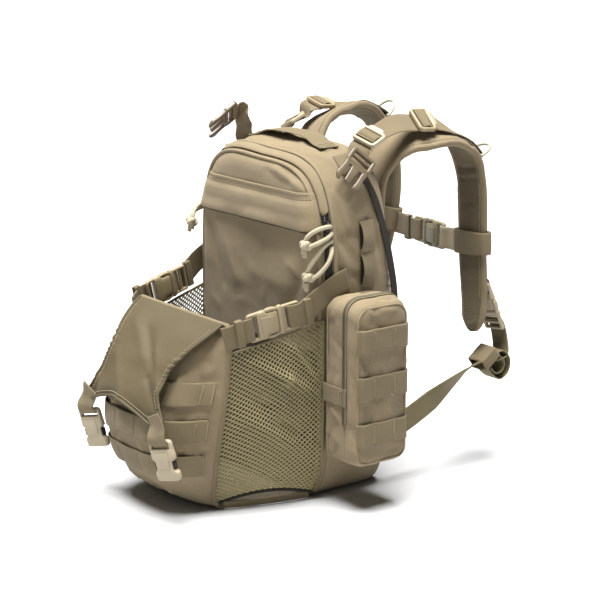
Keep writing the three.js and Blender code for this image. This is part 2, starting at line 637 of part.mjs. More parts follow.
for (const { name, sign } of sides) {
  const curve = padCurve(sign, padPose[name]);
  const padRings = Array.from({ length: padSize.steps + 1 }, (_, k) => padRing(curve, k / padSize.steps));
  addPiece(`shoulder_pad_${name}`, ringBar(padRings), 'cloth');

  // Band round the pad, where the chest strap is held
  const band = keeperBand.places.map((t) => padRing(curve, t, keeperBand.standOff));
  addPiece(`pad_keeper_${name}`, clothWall(band, keeperBand.thick, { wrap: true, turned: true }), 'webbing');

  // Ring on the pad, a bar with a bow, standing off the pad's outer face
  const ringPlace = dRing.place[name];
  const frame = padFrame(curve, ringPlace);
  const bar = padPoint(curve, ringPlace, barHeight);
  const bow = Array.from({ length: dRing.steps + 1 }, (_, k) => {
    const angle = (k / dRing.steps) * Math.PI;
    return [dRing.half * Math.cos(angle), dRing.tall * Math.sin(angle) ** 0.8];
  });
  const ringLine = [...bow, [-dRing.half / 2, 0], [dRing.half / 2, 0]].map(([w, h]) =>
    bar.clone().addScaledVector(frame.across, w).addScaledVector(frame.out, h));
  const rings = ringLine.map((p, k) => {
    const before = ringLine[(k + ringLine.length - 1) % ringLine.length];
    const after = ringLine[(k + 1) % ringLine.length];
    const tangent = after.clone().sub(before).normalize();
    const inPlane = tangent.clone().cross(frame.tangent);
    return Array.from({ length: dRing.sides }, (_, c) => {
      const angle = (c / dRing.sides) * 2 * Math.PI;
      return p.clone().addScaledVector(inPlane, ringWire * Math.cos(angle))
        .addScaledVector(frame.tangent, ringWire * Math.sin(angle));
    });
  });
  addPiece(`d_ring_${name}`, ringBar(rings, { loop: true }), 'plastic');

  // Load lifter: anchor on the bag's top corner, two locks, and a tail sewn along the pad to the ring
  const flip = ([x, y, z]) => [x * sign, y, z];
  const slope = flip([0.72, 0, -0.69]);
  const level = flip([1, 0, -0.25]);
  const across = [sign, 0, 0];
  const pose = lifterPose[name];
  const roll = flip(pose.roll);
  const cornerLock = addBuckle(`corner_lock_${name}`, ladderLock,
    flip(pose.cornerLock), flip([-0.05, 0.9, 0.42]), flip([0.35, -0.35, 0.86]));
  const lock = addBuckle(`ladder_lock_${name}`, ladderLock,
    flip(pose.lock), flip([0.05, 1, -0.06]), flip([-pose.roll[2], 0.06, pose.roll[0]]));
  addPiece(`top_anchor_${name}`, strap([
    { at: flip([88.6, -16, 361.6]), side: slope }, { at: flip([89.2, -4, 362.8]), side: slope },
    { at: flip([88.6, 8, 367]), side: slope },
    ...tuckStops(cornerLock, ladderLock.slots[0], -1, level),
  ], { steps: 14 }), 'webbing');
  const midLifter = vec(...pose.cornerLock).lerp(vec(...pose.lock), 0.5).toArray();
  addPiece(`lifter_strap_${name}`, strap([
    ...tuckStops(cornerLock, ladderLock.slots[1], 1, level).reverse(),
    { at: flip([midLifter[0], midLifter[1], midLifter[2] + 5]), side: roll },
    ...tuckStops(lock, ladderLock.slots[0], -1, roll),
  ], { steps: 20 }), 'webbing');
  const padSide = (t) => padFrame(curve, t).across.multiplyScalar(sign).toArray();
  const fold = [0, 0.25, 0.5, 0.75, 1].map((k) => {
    const angle = k * Math.PI;
    return bar.clone().addScaledVector(frame.out, foldRadius * Math.cos(angle))
      .addScaledVector(frame.tangent, foldRadius * Math.sin(angle));
  });
  addPiece(`lifter_tail_${name}`, strap([
    ...tuckStops(lock, ladderLock.slots[1], 1, roll).reverse(),
    { at: padPoint(curve, ringPlace - 0.07, barHeight + foldRadius + 2).toArray(), side: padSide(ringPlace - 0.07) },
    { at: padPoint(curve, ringPlace - 0.03, barHeight + foldRadius + 0.4).toArray(), side: padSide(ringPlace - 0.03) },
    ...fold.map((p) => ({ at: p.toArray(), side: frame.across.clone().multiplyScalar(sign).toArray() })),
    { at: padPoint(curve, ringPlace - 0.04, tailLow).toArray(), side: padSide(ringPlace - 0.04) },
  ], { steps: 24 }), 'webbing');

  // Loose plug half at the bag's top corner
  const plugPose = cornerPlug[name];
  const plug = addBuckle(`corner_buckle_${name}`, plugHalf, flip(plugPose.at), flip(plugPose.along), flip(plugPose.face));
  if (name === 'left') {
    addPiece('corner_tab_left', strap([
      { at: [-90.2, 8, 369], side: slope }, { at: [-91, -2, 367], side: slope },
      { at: [-91, -9, 372], side: slope }, { at: [-89.5, -12, 387], side: slope },
      ...tuckStops(plug, plugHalf.slots[1], 1, slope),
    ], { steps: 16 }), 'webbing');
  }

  // Lower adjuster: a fastened buckle that leans off the pad's tip, and webbing down to the bag's base corner
  const { tangent, out } = padFrame(curve, tip.place);
  const lean = THREE.MathUtils.degToRad(tip.tilt);
  const hang = tangent.clone().multiplyScalar(Math.cos(lean)).addScaledVector(out, Math.sin(lean));
  const outer = out.clone().multiplyScalar(Math.cos(lean)).addScaledVector(tangent, -Math.sin(lean));
  const buckleMiddle = padPoint(curve, tip.place, padSize.thick / 2 + tip.gap)
    .addScaledVector(hang, 30).addScaledVector(outer, buckleThick / 2);
  const low = addBuckle(`lower_buckle_${name}`, fastened, buckleMiddle.toArray(), hang.toArray(), outer.toArray());
  addPiece(`lower_strap_${name}`, strap([
    ...tuckStops(low, fastened.slots[1], 1, across).reverse(),
    { at: flip([107, 209, 122]), side: across },
    { at: flip([109, 196, 112]), side: [sign * 0.9, 0, 0.4] },
    { at: flip([112, 150, 102]), side: [0, 0.3, 0.95] }, { at: flip([113, 100, 86]), side: [0, 0.3, 0.95] },
    { at: flip([111, 62, 70]), side: [0, 0.4, 0.9] }, { at: flip([109.4, 37, 60]), side: [0, 0.4, 0.9] },
  ], { steps: 24 }), 'webbing');
}

// Chest strap between the pads
const chestEnd = { right: [63.6, 179, 252], left: [-63.6, 195, 252] };
const chestMiddle = vec(...chestEnd.right).lerp(vec(...chestEnd.left), 0.44);
const chestAlong = vec(...chestEnd.left).sub(vec(...chestEnd.right)).normalize();
const chestUp = [0, 0.1, 1];
const chestBuckle = addBuckle('chest_buckle', fastened,
  chestMiddle.toArray(), chestAlong.toArray(), [-0.1, -1, 0]);
for (const { name, sign } of sides) {
  const slot = fastened.slots[sign > 0 ? 0 : 1];
  addPiece(`chest_strap_${name}`, strap([
    { at: chestEnd[name], side: chestUp },
    { at: vec(...chestEnd[name]).lerp(chestMiddle, 0.3).toArray(), side: chestUp },
    ...tuckStops(chestBuckle, slot, -sign, chestUp),
  ], { steps: 12 }), 'webbing');
}

// Dark strap down the bag's rear right edge
addPiece('edge_strap', strap([
  { at: [106.3, 18, 329], side: [0, 1, 0.2] }, { at: [110.6, 28, 295], side: [0, 1, 0.25] },
  { at: [112.6, 36, 262], side: [0, 1, 0.25] }, { at: [113, 44, 215], side: [0, 1, 0.25] },
  { at: [109.5, 45, 170], side: [0, 1, 0.1] }, { at: [107.6, 43, 130], side: [0, 1, 0] },
], { width: 8, thick: 1.6, steps: 10 }), 'dark');

// Cord loops on the zip sliders: distance out from the bag's middle, station, and height from the slider
const cord = { radius: 2, sides: 8, steps: 11 };
const pullLoops = {
  right_upper: [[112.8, -45, 0], [116, -52, -1], [112, -63, -6], [104, -69.5, -14], [100, -70.5, -21],
    [101, -71, -26], [105, -71, -24], [110, -68, -18], [114.5, -60, -11], [117, -52, -8], [115, -45, -7]],
  right_lower: [[115, -45, 1], [117, -52, -2], [114, -61, -14], [107, -68.5, -30], [103, -70.5, -40],
    [104, -71, -45], [108, -70.5, -42], [113, -66, -32], [118, -56, -20], [119, -50, -10], [115.4, -45, -6]],
  left: [[113.6, -45, 0], [117, -52, -3], [117, -60, -8], [115, -65, -14], [114.5, -66, -19],
    [117, -66, -18], [120, -61, -13], [120, -53, -9], [115, -45, -7]],
};
const cordSection = new THREE.Shape(Array.from({ length: cord.sides }, (_, k) => {
  const angle = (k / cord.sides) * 2 * Math.PI;
  return new THREE.Vector2(cord.radius * Math.cos(angle), cord.radius * Math.sin(angle));
}));
for (const slider of zipSliders) {
  const line = pullLoops[slider.name].map(([out, y, rise]) => vec(slider.side * out, y, slider.z + rise));
  const extrudePath = new THREE.CatmullRomCurve3(line, false, 'centripetal');
  const settings = { steps: cord.steps, extrudePath, bevelEnabled: false };
  addPiece(`zip_pull_${slider.name}`, new THREE.ExtrudeGeometry(cordSection, settings), 'cord');
}

export default backpack;
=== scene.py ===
import bpy
import numpy as np
from mathutils import Matrix


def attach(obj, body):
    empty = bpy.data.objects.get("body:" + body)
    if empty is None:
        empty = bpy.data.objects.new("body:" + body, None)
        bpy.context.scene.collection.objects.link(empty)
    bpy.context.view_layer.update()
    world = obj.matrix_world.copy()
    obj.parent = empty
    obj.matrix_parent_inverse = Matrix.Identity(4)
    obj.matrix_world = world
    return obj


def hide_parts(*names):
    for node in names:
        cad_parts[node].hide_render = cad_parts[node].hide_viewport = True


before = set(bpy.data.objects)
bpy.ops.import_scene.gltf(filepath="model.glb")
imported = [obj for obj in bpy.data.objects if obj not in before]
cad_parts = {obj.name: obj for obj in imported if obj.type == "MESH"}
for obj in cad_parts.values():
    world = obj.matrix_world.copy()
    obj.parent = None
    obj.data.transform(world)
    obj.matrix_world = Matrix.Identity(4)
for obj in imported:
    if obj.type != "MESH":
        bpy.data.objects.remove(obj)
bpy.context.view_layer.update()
mm = 0.001
seamHalf = 0.25  # half the gap where two pieces of cloth meet
sides = {"right": 1, "left": -1}
print("frame loaded,", len(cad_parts), "nodes")


# Small maths

def unit(v):
    return v / np.maximum(np.linalg.norm(v, axis=-1, keepdims=True), 1e-9)


def signedPower(value, power):
    return np.sign(value) * np.abs(value) ** power


def mix(a, b, share):
    return a + (b - a) * share


def smoothStep(low, high, value):
    t = np.clip((value - low) / (high - low), 0, 1)
    return t * t * (3 - 2 * t)


def tableAt(table, column, values):
    # each column as a cubic of one column, its slope the harmonic mean of the chords on both sides
    rows = np.array(sorted(table, key=lambda row: row[column]), float)
    x = rows[:, column]
    gap = np.diff(x)[:, None]
    chord = np.diff(rows, axis=0) / gap
    before, after = chord[:-1], chord[1:]
    same = before * after > 0
    slope = np.zeros_like(rows)
    slope[1:-1] = np.where(same, 2 * before * after / np.where(same, before + after, 1), 0)
    slope[0], slope[-1] = chord[0], chord[-1]
    v = np.clip(np.asarray(values, float).ravel(), x[0], x[-1])
    k = np.clip(np.searchsorted(x, v, side="right") - 1, 0, len(x) - 2)
    t, g = ((v - x[k]) / gap[k, 0])[:, None], gap[k]
    return (rows[k] * (1 + 2 * t) * (1 - t) ** 2 + slope[k] * g * t * (1 - t) ** 2
            + rows[k + 1] * t * t * (3 - 2 * t) + slope[k + 1] * g * t * t * (t - 1))


def walked(points, axis=0):
    # length walked from the first point, along one axis of a grid
    steps = np.linalg.norm(np.diff(points, axis=axis), axis=-1)
    total = np.cumsum(steps, axis=axis)
    return np.concatenate([np.zeros_like(np.take(total, [0], axis)), total], axis)


def throughPoints(stops, count):
    # centripetal curve through the stops: cubic pieces, slopes weighed by the square roots of the gaps
    p = np.asarray(stops, float)
    last = len(p) - 1
    p = np.vstack([2 * p[0] - p[1], p, 2 * p[-1] - p[-2]])
    gap = np.sqrt(np.maximum(np.linalg.norm(np.diff(p[:, :3], axis=0), axis=1), 1e-6))
    t = np.linspace(0, last, count)
    k = np.minimum(t.astype(int), last - 1)
    w = (t - k)[:, None]
    a, b, c, d = p[k], p[k + 1], p[k + 2], p[k + 3]
    g, h, i = gap[k, None], gap[k + 1, None], gap[k + 2, None]
    start = ((b - a) / g - (c - a) / (g + h) + (c - b) / h) * h
    end = ((c - b) / h - (d - b) / (h + i) + (d - c) / i) * h
    return ((2 * w**3 - 3 * w**2 + 1) * b + (w**3 - 2 * w**2 + w) * start
            + (3 * w**2 - 2 * w**3) * c + (w**3 - w**2) * end)


def readAlong(at, walk, values):
    # every column of the values, read at distances along the walk
    return np.stack([np.interp(at, walk, values[:, k]) for k in range(values.shape[1])], -1)


def evenLine(line, count, closed=False):
    # the same line at equal steps of its length
    line = np.vstack([line, line[:1]]) if closed else np.asarray(line)
    walk = walked(line)
    return readAlong(np.linspace(0, walk[-1], count, endpoint=not closed), walk, line)


def loopTangent(line):
    return unit(np.roll(line, -1, 0) - np.roll(line, 1, 0))


def evenColumns(grid, count, closed=False):
    return np.array([evenLine(row, count, closed) for row in grid])


def gridNormals(grid, wrap=False):
    # next column crossed with next row
    along = (np.roll(grid, -1, 1) - np.roll(grid, 1, 1)) if wrap else np.gradient(grid, axis=1)
    return unit(np.cross(along, np.gradient(grid, axis=0)))


def softNoise(points, size, seed):
    # seven plane waves of seeded directions, added: a smooth field of about plus or minus one
    rng = np.random.default_rng(seed)
    ways = unit(rng.normal(size=(7, 3))) * (2 * np.pi / (size * rng.uniform(0.6, 1.5, (7, 1))))
    return np.sin(points @ ways.T + rng.uniform(0, 6.28, 7)).sum(-1) / 3


def foldField(points, folds):
    # each fold is a bell across a line from a to b: depth over one plus the squared distance by its width
    total = np.zeros(points.shape[:-1])
    for a, b, width, depth in folds:
        a, b = np.array(a, float), np.array(b, float)
        share = np.clip(((points - a) @ (b - a)) / ((b - a) @ (b - a)), 0, 1)
        distance = np.linalg.norm(points - (a + share[..., None] * (b - a)), axis=-1)
        total = total + depth / (1 + (distance / width) ** 2) ** 2
    return total


# Camera at the photograph's place, fitted to the bag's landmarks
view = dict(place=(1.5602, -1.1769, 0.6701), azimuth=52.96, pitch=13.64, lens=107.5, sensor=36, reach=30)


def aim(thing, place, back):
    # the thing looks along minus back, with its own X level
    right = unit(np.cross([0, 0, 1.0], back))
    axes = np.eye(4)
    axes[:3] = np.stack([right, np.cross(back, right), back, place], -1)
    thing.matrix_world = Matrix(axes.tolist())
    bpy.context.collection.objects.link(thing)


def addCamera():
    turn, dip = np.radians(view["azimuth"]), np.radians(view["pitch"])
    optics = bpy.data.cameras.new("camera")
    optics.lens, optics.sensor_width, optics.clip_end = view["lens"], view["sensor"], view["reach"]
    camera = bpy.data.objects.new("camera", optics)
    aim(camera, view["place"], np.array([np.sin(turn) * np.cos(dip), -np.cos(turn) * np.cos(dip), np.sin(dip)]))
    bpy.context.scene.camera = camera


addCamera()


# Meshes

def quadsOf(rows, cols, wrap=False):
    r, c = np.mgrid[0:rows - 1, 0:cols if wrap else cols - 1]
    n = (c + 1) % cols
    wide = cols + 1 if wrap else cols
    corners = np.stack([r * cols + c, r * cols + n, (r + 1) * cols + n, (r + 1) * cols + c], -1)
    flat = np.stack([r * wide + c, r * wide + c + 1, (r + 1) * wide + c + 1, (r + 1) * wide + c], -1)
    return corners.reshape(-1, 4), flat.reshape(-1, 4)


def addPiece(name, points, faces, material, slot, loopUv=None, stands=(), body="bag", thick=0, sharp=None):
    mesh = bpy.data.meshes.new(name)
    mesh.from_pydata((np.asarray(points) * mm).tolist(), [], faces)
    if loopUv is not None:
        layer = mesh.uv_layers.new(name="cloth")
        layer.data.foreach_set("uv", (np.asarray(loopUv) * mm).astype(np.float32).ravel())
    mesh.shade_smooth()
    if sharp:
        mesh.set_sharp_from_angle(angle=np.radians(sharp))
    for one in material if isinstance(material, (list, tuple)) else [material]:
        mesh.materials.append(one)
    piece = bpy.data.objects.new(name, mesh)
    bpy.context.collection.objects.link(piece)
    if thick:
        wall = piece.modifiers.new("wall", "SOLIDIFY")
        wall.thickness, wall.offset = thick * mm, -1
        wall.use_quality_normals = True
    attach(piece, body)
    if stands:
        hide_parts(*stands)
    return piece


def addGrid(name, grid, material, slot, wrap=False, flip=False, pole=None, caps=False, flat=None, **rest):
    # a grid of points as quads; a pole closes the last row onto one point, caps close each end with one face
    rows, cols = grid.shape[:2]
    quads, flatQuads = quadsOf(rows, cols, wrap)
    if flat is None:
        ring = np.concatenate([grid, grid[:, :1]], 1) if wrap else grid
        across, down = walked(ring, 1), walked(ring, 0)
        flat = np.stack([across - across.mean(1, keepdims=True), down], -1)
    flat = flat.reshape(-1, 2)
    points = grid.reshape(-1, 3)
    faces = (quads[:, ::-1] if flip else quads).tolist()
    loops = flat[(flatQuads[:, ::-1] if flip else flatQuads).ravel()]
    if pole is not None:
        top = (rows - 1) * cols + np.arange(cols)
        topFlat = (rows - 1) * (cols + 1) + np.arange(cols)
        fan = np.stack([top, np.roll(top, -1), np.full(cols, len(points))], -1)
        fanUv = np.stack([flat[topFlat], flat[topFlat + 1], np.zeros((cols, 2))], 1)
        points = np.vstack([points, pole])
        faces += (fan[:, ::-1] if flip else fan).tolist()
        loops = np.vstack([loops, (fanUv[:, ::-1] if flip else fanUv).reshape(-1, 2)])
    if caps:
        for row, way in ((0, -1), (rows - 1, 1)):
            faces.append((row * cols + np.arange(cols))[::way].tolist())
            loops = np.vstack([loops, flat[(row * (cols + 1) + np.arange(cols))[::way]]])
    return addPiece(name, points, faces, material, slot, loops, **rest)


def markFaces(piece, second):
    # faces that have the piece's second material
    piece.data.polygons.foreach_set("material_index", np.asarray(second).astype(np.int32))


# A shape is points, faces and a flat place for each point, before it becomes a piece

def endFaces(rows, cols):
    return [np.arange(cols)[::-1].tolist(), ((rows - 1) * cols + np.arange(cols)).tolist()]


def tubeShape(centre, side, face, profile, closed=False):
    # a profile of side and face distances carried along a path; each open end is closed with one face
    centre, side, face = (np.asarray(v, float) for v in (centre, side, face))
    grid = centre[:, None] + side[:, None] * profile[:, :1] + face[:, None] * profile[:, 1:]
    rows, cols = grid.shape[:2]
    quads, _ = quadsOf(rows + closed, cols, True)
    faces = (quads % (rows * cols)).tolist() + ([] if closed else endFaces(rows, cols))
    flat = np.stack(np.broadcast_arrays(profile[:, 0], walked(centre)[:, None]), -1)
    return grid.reshape(-1, 3), faces, flat.reshape(-1, 2)


def blockShape(rows, count=28, power=0.5):
    # superellipse sections along X: rows of x, half width, half height and an optional middle y and z
    table = np.array([list(row) + [0] * (5 - len(row)) for row in rows], float)[:, None]
    x = np.broadcast_to(table[..., :1], (len(table), count, 1))
    grid = np.concatenate([x, table[..., 3:] + table[..., 1:3] * roundProfile(1, 1, power, count)], -1)
    quads, _ = quadsOf(len(table), count, True)
    points = grid.reshape(-1, 3)
    return points, quads.tolist() + endFaces(len(table), count), points[:, :2]


def joined(shapes):
    points, faces, flats, start = [], [], [], 0
    for p, f, flat in shapes:
        points.append(p)
        faces += [[k + start for k in face] for face in f]
        flats.append(flat)
        start += len(p)
    return np.vstack(points), faces, np.vstack(flats)


def addShape(name, shape, material, slot, **rest):
    points, faces, flat = shape
    order = np.concatenate([np.asarray(face) for face in faces])
    return addPiece(name, points, faces, material, slot, flat[order], **rest)


def roundProfile(halfWide, halfTall, power=0.6, count=12):
    angle = (np.arange(count) + 0.5) / count * 2 * np.pi
    return np.stack([halfWide * signedPower(np.cos(angle), power),
                     halfTall * signedPower(np.sin(angle), power)], -1)


def webProfile(width, thick):
    # webbing: flat faces that swell a little to the selvedges, and round edges
    across = np.array([1, 0.97, 0.9, 0.6, 0.2, -0.2, -0.6, -0.9, -0.97, -1])
    tall = np.array([0.15, 0.75, 1, 0.86, 0.86, 0.86, 0.86, 1, 0.75, 0.15])
    upper = np.stack([across * width / 2, tall * thick / 2], -1)
    return np.vstack([upper, -upper])


def pathAxes(points, hint):
    # side is the hint made square to the path, face is path crossed with side
    tangent = unit(np.gradient(points, axis=0))
    hint = np.broadcast_to(np.asarray(hint, float), points.shape)
    side = unit(hint - (hint * tangent).sum(-1, keepdims=True) * tangent)
    return tangent, side, np.cross(tangent, side)


def pipeShape(line, hint, *profile):
    _, side, face = pathAxes(line, hint)
    return tubeShape(line, side, face, roundProfile(*profile))


def strapShape(stops, width=25.4, thick=1.8, count=None):
    # stops are a place and the direction of the width there
    places, hints = (np.array(v, float) for v in zip(*stops))
    count = count or 9 * (len(stops) - 1) + 1
    centre = throughPoints(places, count)
    steps = np.arange(len(stops))
    _, side, face = pathAxes(centre, readAlong(np.linspace(0, steps[-1], count), steps, hints))
    return tubeShape(centre, side, face, webProfile(width, thick))


def stitchShape(line, normal, pitch=3.6, long=2.6, wide=0.75, lift=0.45):
    # short round-backed threads along a line, dipping into the cloth at both ends
    walk = walked(line)
    starts = np.arange(pitch / 2, walk[-1] - long, pitch)
    at = starts[:, None] + np.array([0, 0.18, 0.5, 0.82, 1]) * long
    p, n = readAlong(at, walk, line), unit(readAlong(at, walk, np.broadcast_to(normal, line.shape)))
    across = unit(np.cross(n, np.gradient(p, axis=1)))
    height = np.array([-0.5, 0.55, 1, 0.55, -0.5]) * lift
    girth = np.array([0.5, 1, 1, 1, 0.5]) * wide / 2
    ring = np.array([[1, -0.4], [0.6, 0.8], [-0.6, 0.8], [-1, -0.4]]) * girth[:, None, None]
    grid = (p + n * height[:, None])[:, :, None] + across[:, :, None] * ring[..., :1] + n[:, :, None] * ring[..., 1:]
    rows, cols = ring.shape[:2]
    quads, _ = quadsOf(rows, cols, True)
    every = quads + (np.arange(len(starts)) * rows * cols)[:, None, None]
    points = grid.reshape(-1, 3)
    return points, every.reshape(-1, 4).tolist(), points[:, :2]


tack = dict(pitch=1.6, long=1.5, wide=1.0, lift=0.5)


def tackLines(grid, normal, columns):
    # two close lines of short stitches down each of the grid's columns
    return [stitchShape(grid[1:-1, c + shift], normal[1:-1, c + shift], **tack) for c in columns for shift in (-1, 1)]


def boxStitchLines(corner, along, across, width, length, normal):
    # a sewn box with a cross in it
    a, b = np.asarray(along) * length, np.asarray(across) * width
    c = [corner, corner + a, corner + a + b, corner + b]
    pairs = [(c[0], c[1]), (c[1], c[2]), (c[2], c[3]), (c[3], c[0]), (c[0], c[2]), (c[1], c[3])]
    return [stitchShape(np.linspace(p, q, 12), normal) for p, q in pairs]


print("helpers ready")


# Materials: shared node groups for weave and mottling, one material a finish

def linear(code):
    value = np.array([int(code[k:k + 2], 16) for k in (0, 2, 4)]) / 255
    return (*np.where(value <= 0.04045, value / 12.92, ((value + 0.055) / 1.055) ** 2.4), 1)


def newGroup(name, outputs):
    group = bpy.data.node_groups.new(name, "ShaderNodeTree")
    group.interface.new_socket("Place", in_out="INPUT", socket_type="NodeSocketVector")
    for label in outputs:
        group.interface.new_socket(label, in_out="OUTPUT", socket_type="NodeSocketFloat")
    return group, group.nodes.new("NodeGroupInput").outputs[0], group.nodes.new("NodeGroupOutput").inputs


def mathsIn(tree):
    # the function adds a maths node; plain numbers stay on the node's own socket
    def maths(operation, *values):
        node = tree.nodes.new("ShaderNodeMath")
        node.operation = operation
        for socket, value in zip(node.inputs, values):
            if isinstance(value, (int, float)):
                socket.default_value = value
            else:
                tree.links.new(value, socket)
        return node.outputs[0]
    return maths


def weaveGroup():
    # plain weave: in every other square the warp's arch shows, in the rest the weft's
    group, place, out = newGroup("threadWeave", ["Height"])
    maths = mathsIn(group)
    split = group.nodes.new("ShaderNodeSeparateXYZ")
    group.links.new(place, split.inputs[0])
    x, y = split.outputs[0], split.outputs[1]
    warp, weft = (maths("ABSOLUTE", maths("SINE", maths("MULTIPLY", k, np.pi))) for k in (x, y))
    over = maths("FLOORED_MODULO", maths("ADD", maths("FLOOR", x), maths("FLOOR", y)), 2.0)
    under = maths("SUBTRACT", 1.0, over)
    group.links.new(maths("ADD", maths("MULTIPLY", warp, over), maths("MULTIPLY", weft, under)), out[0])
    return group


def mottleGroup():
    # wide patches, hand-sized crumple and fine specks, from noise on the piece's own place
    scales = dict(Broad=(9, 3), Crumple=(55, 4), Fine=(900, 2))
    group, place, out = newGroup("clothMottle", scales)
    for k, (scale, detail) in enumerate(scales.values()):
        noise = group.nodes.new("ShaderNodeTexNoise")
        noise.inputs["Scale"].default_value, noise.inputs["Detail"].default_value = scale, detail
        group.links.new(place, noise.inputs["Vector"])
        group.links.new(noise.outputs[0], out[k])
    return group


weave, mottle = weaveGroup(), mottleGroup()


def finish(name, dark, light, roughness, thread=None, threadBump=0.3, crumple=0.0, speck=0.35, broad=0.6,
           sheen=0.0, specular=0.3):
    # colour runs from dark to light by patches and specks, and is darker where the weave is low, as painted shade
    # between the threads; the bump is threads plus crumple
    material = bpy.data.materials.new(name)
    material.use_nodes = True
    tree = material.node_tree
    nodes, link, maths = tree.nodes, tree.links.new, mathsIn(tree)
    shader = nodes["Principled BSDF"]
    where = nodes.new("ShaderNodeTexCoord")
    spots = nodes.new("ShaderNodeGroup")
    spots.node_tree = mottle
    link(where.outputs["Object"], spots.inputs[0])
    patches, crumpled, fine = (spots.outputs[label] for label in ("Broad", "Crumple", "Fine"))
    share = maths("ADD", maths("MULTIPLY", maths("SUBTRACT", patches, 0.5), broad),
                  maths("MULTIPLY", maths("SUBTRACT", fine, 0.5), speck))
    share = maths("ADD", share, 0.5)
    relief = fine
    if thread:
        # thread is the warp's and the weft's pitch in millimetres, and a turn
        turn = nodes.new("ShaderNodeMapping")
        turn.inputs["Scale"].default_value = (1000 / thread[0], 1000 / thread[1], 1)
        turn.inputs["Rotation"].default_value = (0, 0, thread[2] if len(thread) > 2 else 0)
        threads = nodes.new("ShaderNodeGroup")
        threads.node_tree = weave
        link(where.outputs["UV"], turn.inputs[0])
        link(turn.outputs[0], threads.inputs[0])
        relief = threads.outputs["Height"]
        # painted shade: the weave's low parts are coloured darker
        share = maths("ADD", share, maths("MULTIPLY", maths("SUBTRACT", relief, 0.6), 0.5))
    height = maths("ADD", maths("MULTIPLY", crumpled, crumple), maths("MULTIPLY", relief, threadBump))
    colour = nodes.new("ShaderNodeMix")
    colour.data_type = "RGBA"
    link(share, colour.inputs[0])
    colour.inputs[6].default_value, colour.inputs[7].default_value = linear(dark), linear(light)
    link(colour.outputs[2], shader.inputs["Base Color"])
    bump = nodes.new("ShaderNodeBump")
    bump.inputs["Strength"].default_value, bump.inputs["Distance"].default_value = 0.6, 0.001
    link(height, bump.inputs["Height"])
    link(bump.outputs[0], shader.inputs["Normal"])
    link(maths("ADD", maths("MULTIPLY", crumpled, 0.12), roughness - 0.06), shader.inputs["Roughness"])
    for label, value in (("Specular IOR Level", specular), ("Sheen Weight", sheen), ("Sheen Roughness", 0.5)):
        shader.inputs[label].default_value = value
    return material


cloth = dict(thread=(0.95, 0.95), threadBump=0.4, speck=0.8, sheen=0.1)
webbing = dict(thread=(2.2, 1.1), threadBump=0.6, crumple=0.3, sheen=0.1)
zipper = dict(thread=(0.9, 0.9), threadBump=0.4, crumple=0.2)
plastic = dict(threadBump=0.12, crumple=0.15, speck=0.2, broad=0.4)
smooth = dict(threadBump=0.1, crumple=0.1)
sewing = dict(threadBump=0.3, crumple=0.2)
clothFinish = finish("packCloth", "6f614a", "97876a", 0.85, crumple=1.9, **cloth)
padFinish = finish("padCloth", "6b5d47", "938366", 0.85, crumple=1.6, **cloth)
# painted shade: a dark finish for the faces inside the cargo pocket
pocketShadeFinish = finish("pocketPaintedShade", "3a3429", "494134", 0.85, (1.2, 1.2), 0.2, 0.6)
padNetFinish = finish("padLining", "5b5140", "726751", 0.9, (2.4, 2.4, 0.785), 0.9, 0.4)
coatedFinish = finish("flapCoating", "453c2a", "584e37", 0.68, (0.8, 0.8), 0.05, 1.4, speck=0.2)
netFinish = finish("pocketNet", "7e7452", "a19670", 0.85, (0.6, 0.6), 0.25, 0.2)
webFinish = finish("packWebbing", "60543f", "847659", 0.8, **webbing)
oliveWebFinish = finish("strapWebbing", "5c5338", "7d7353", 0.8, **webbing)
creamWebFinish = finish("creamWebbing", "857860", "a69980", 0.8, **webbing)
# dark webbing, and also the colour of painted shade in gaps, slots and buckle windows
darkWebAndShadeFinish = finish("darkWebbingAndShade", "1f1b16", "37312a", 0.75, (1.8, 1.0), 0.5, 0.2)
plasticFinish = finish("buckleTan", "84765a", "9d8e71", 0.42, specular=0.45, **plastic)
plasticPaleFinish = finish("buckleCream", "968970", "ab9e86", 0.45, specular=0.45, **plastic)
plasticBrownFinish = finish("buckleBrown", "55493a", "6e604b", 0.4, specular=0.5, **plastic)
plasticOliveFinish = finish("buckleOlive", "665e49", "7b725a", 0.42, specular=0.45, **plastic)
ringFinish = finish("ringGrey", "94957d", "adae96", 0.4, speck=0.2, broad=0.4, specular=0.5, **smooth)
zipFinish = finish("zipBlack", "15130f", "29251f", 0.6, **zipper)
zipTanFinish = finish("zipTan", "6b6048", "857a5e", 0.75, **zipper)
coilFinish = finish("zipCoil", "0f0e0c", "24211c", 0.35, specular=0.5, **smooth)
pouchCoilFinish = finish("pouchCoil", "3f3828", "585039", 0.5, specular=0.4, **smooth)
cordFinish = finish("pullCord", "9d9178", "c2b79c", 0.8, (1.3, 1.3, 0.785), 0.8, 0.2, sheen=0.1)
threadFinish = finish("sewingThread", "887c63", "a79a7f", 0.7, **sewing)
seamFinish = finish("seamThread", "5f543f", "776b53", 0.7, **sewing)
print("materials ready")


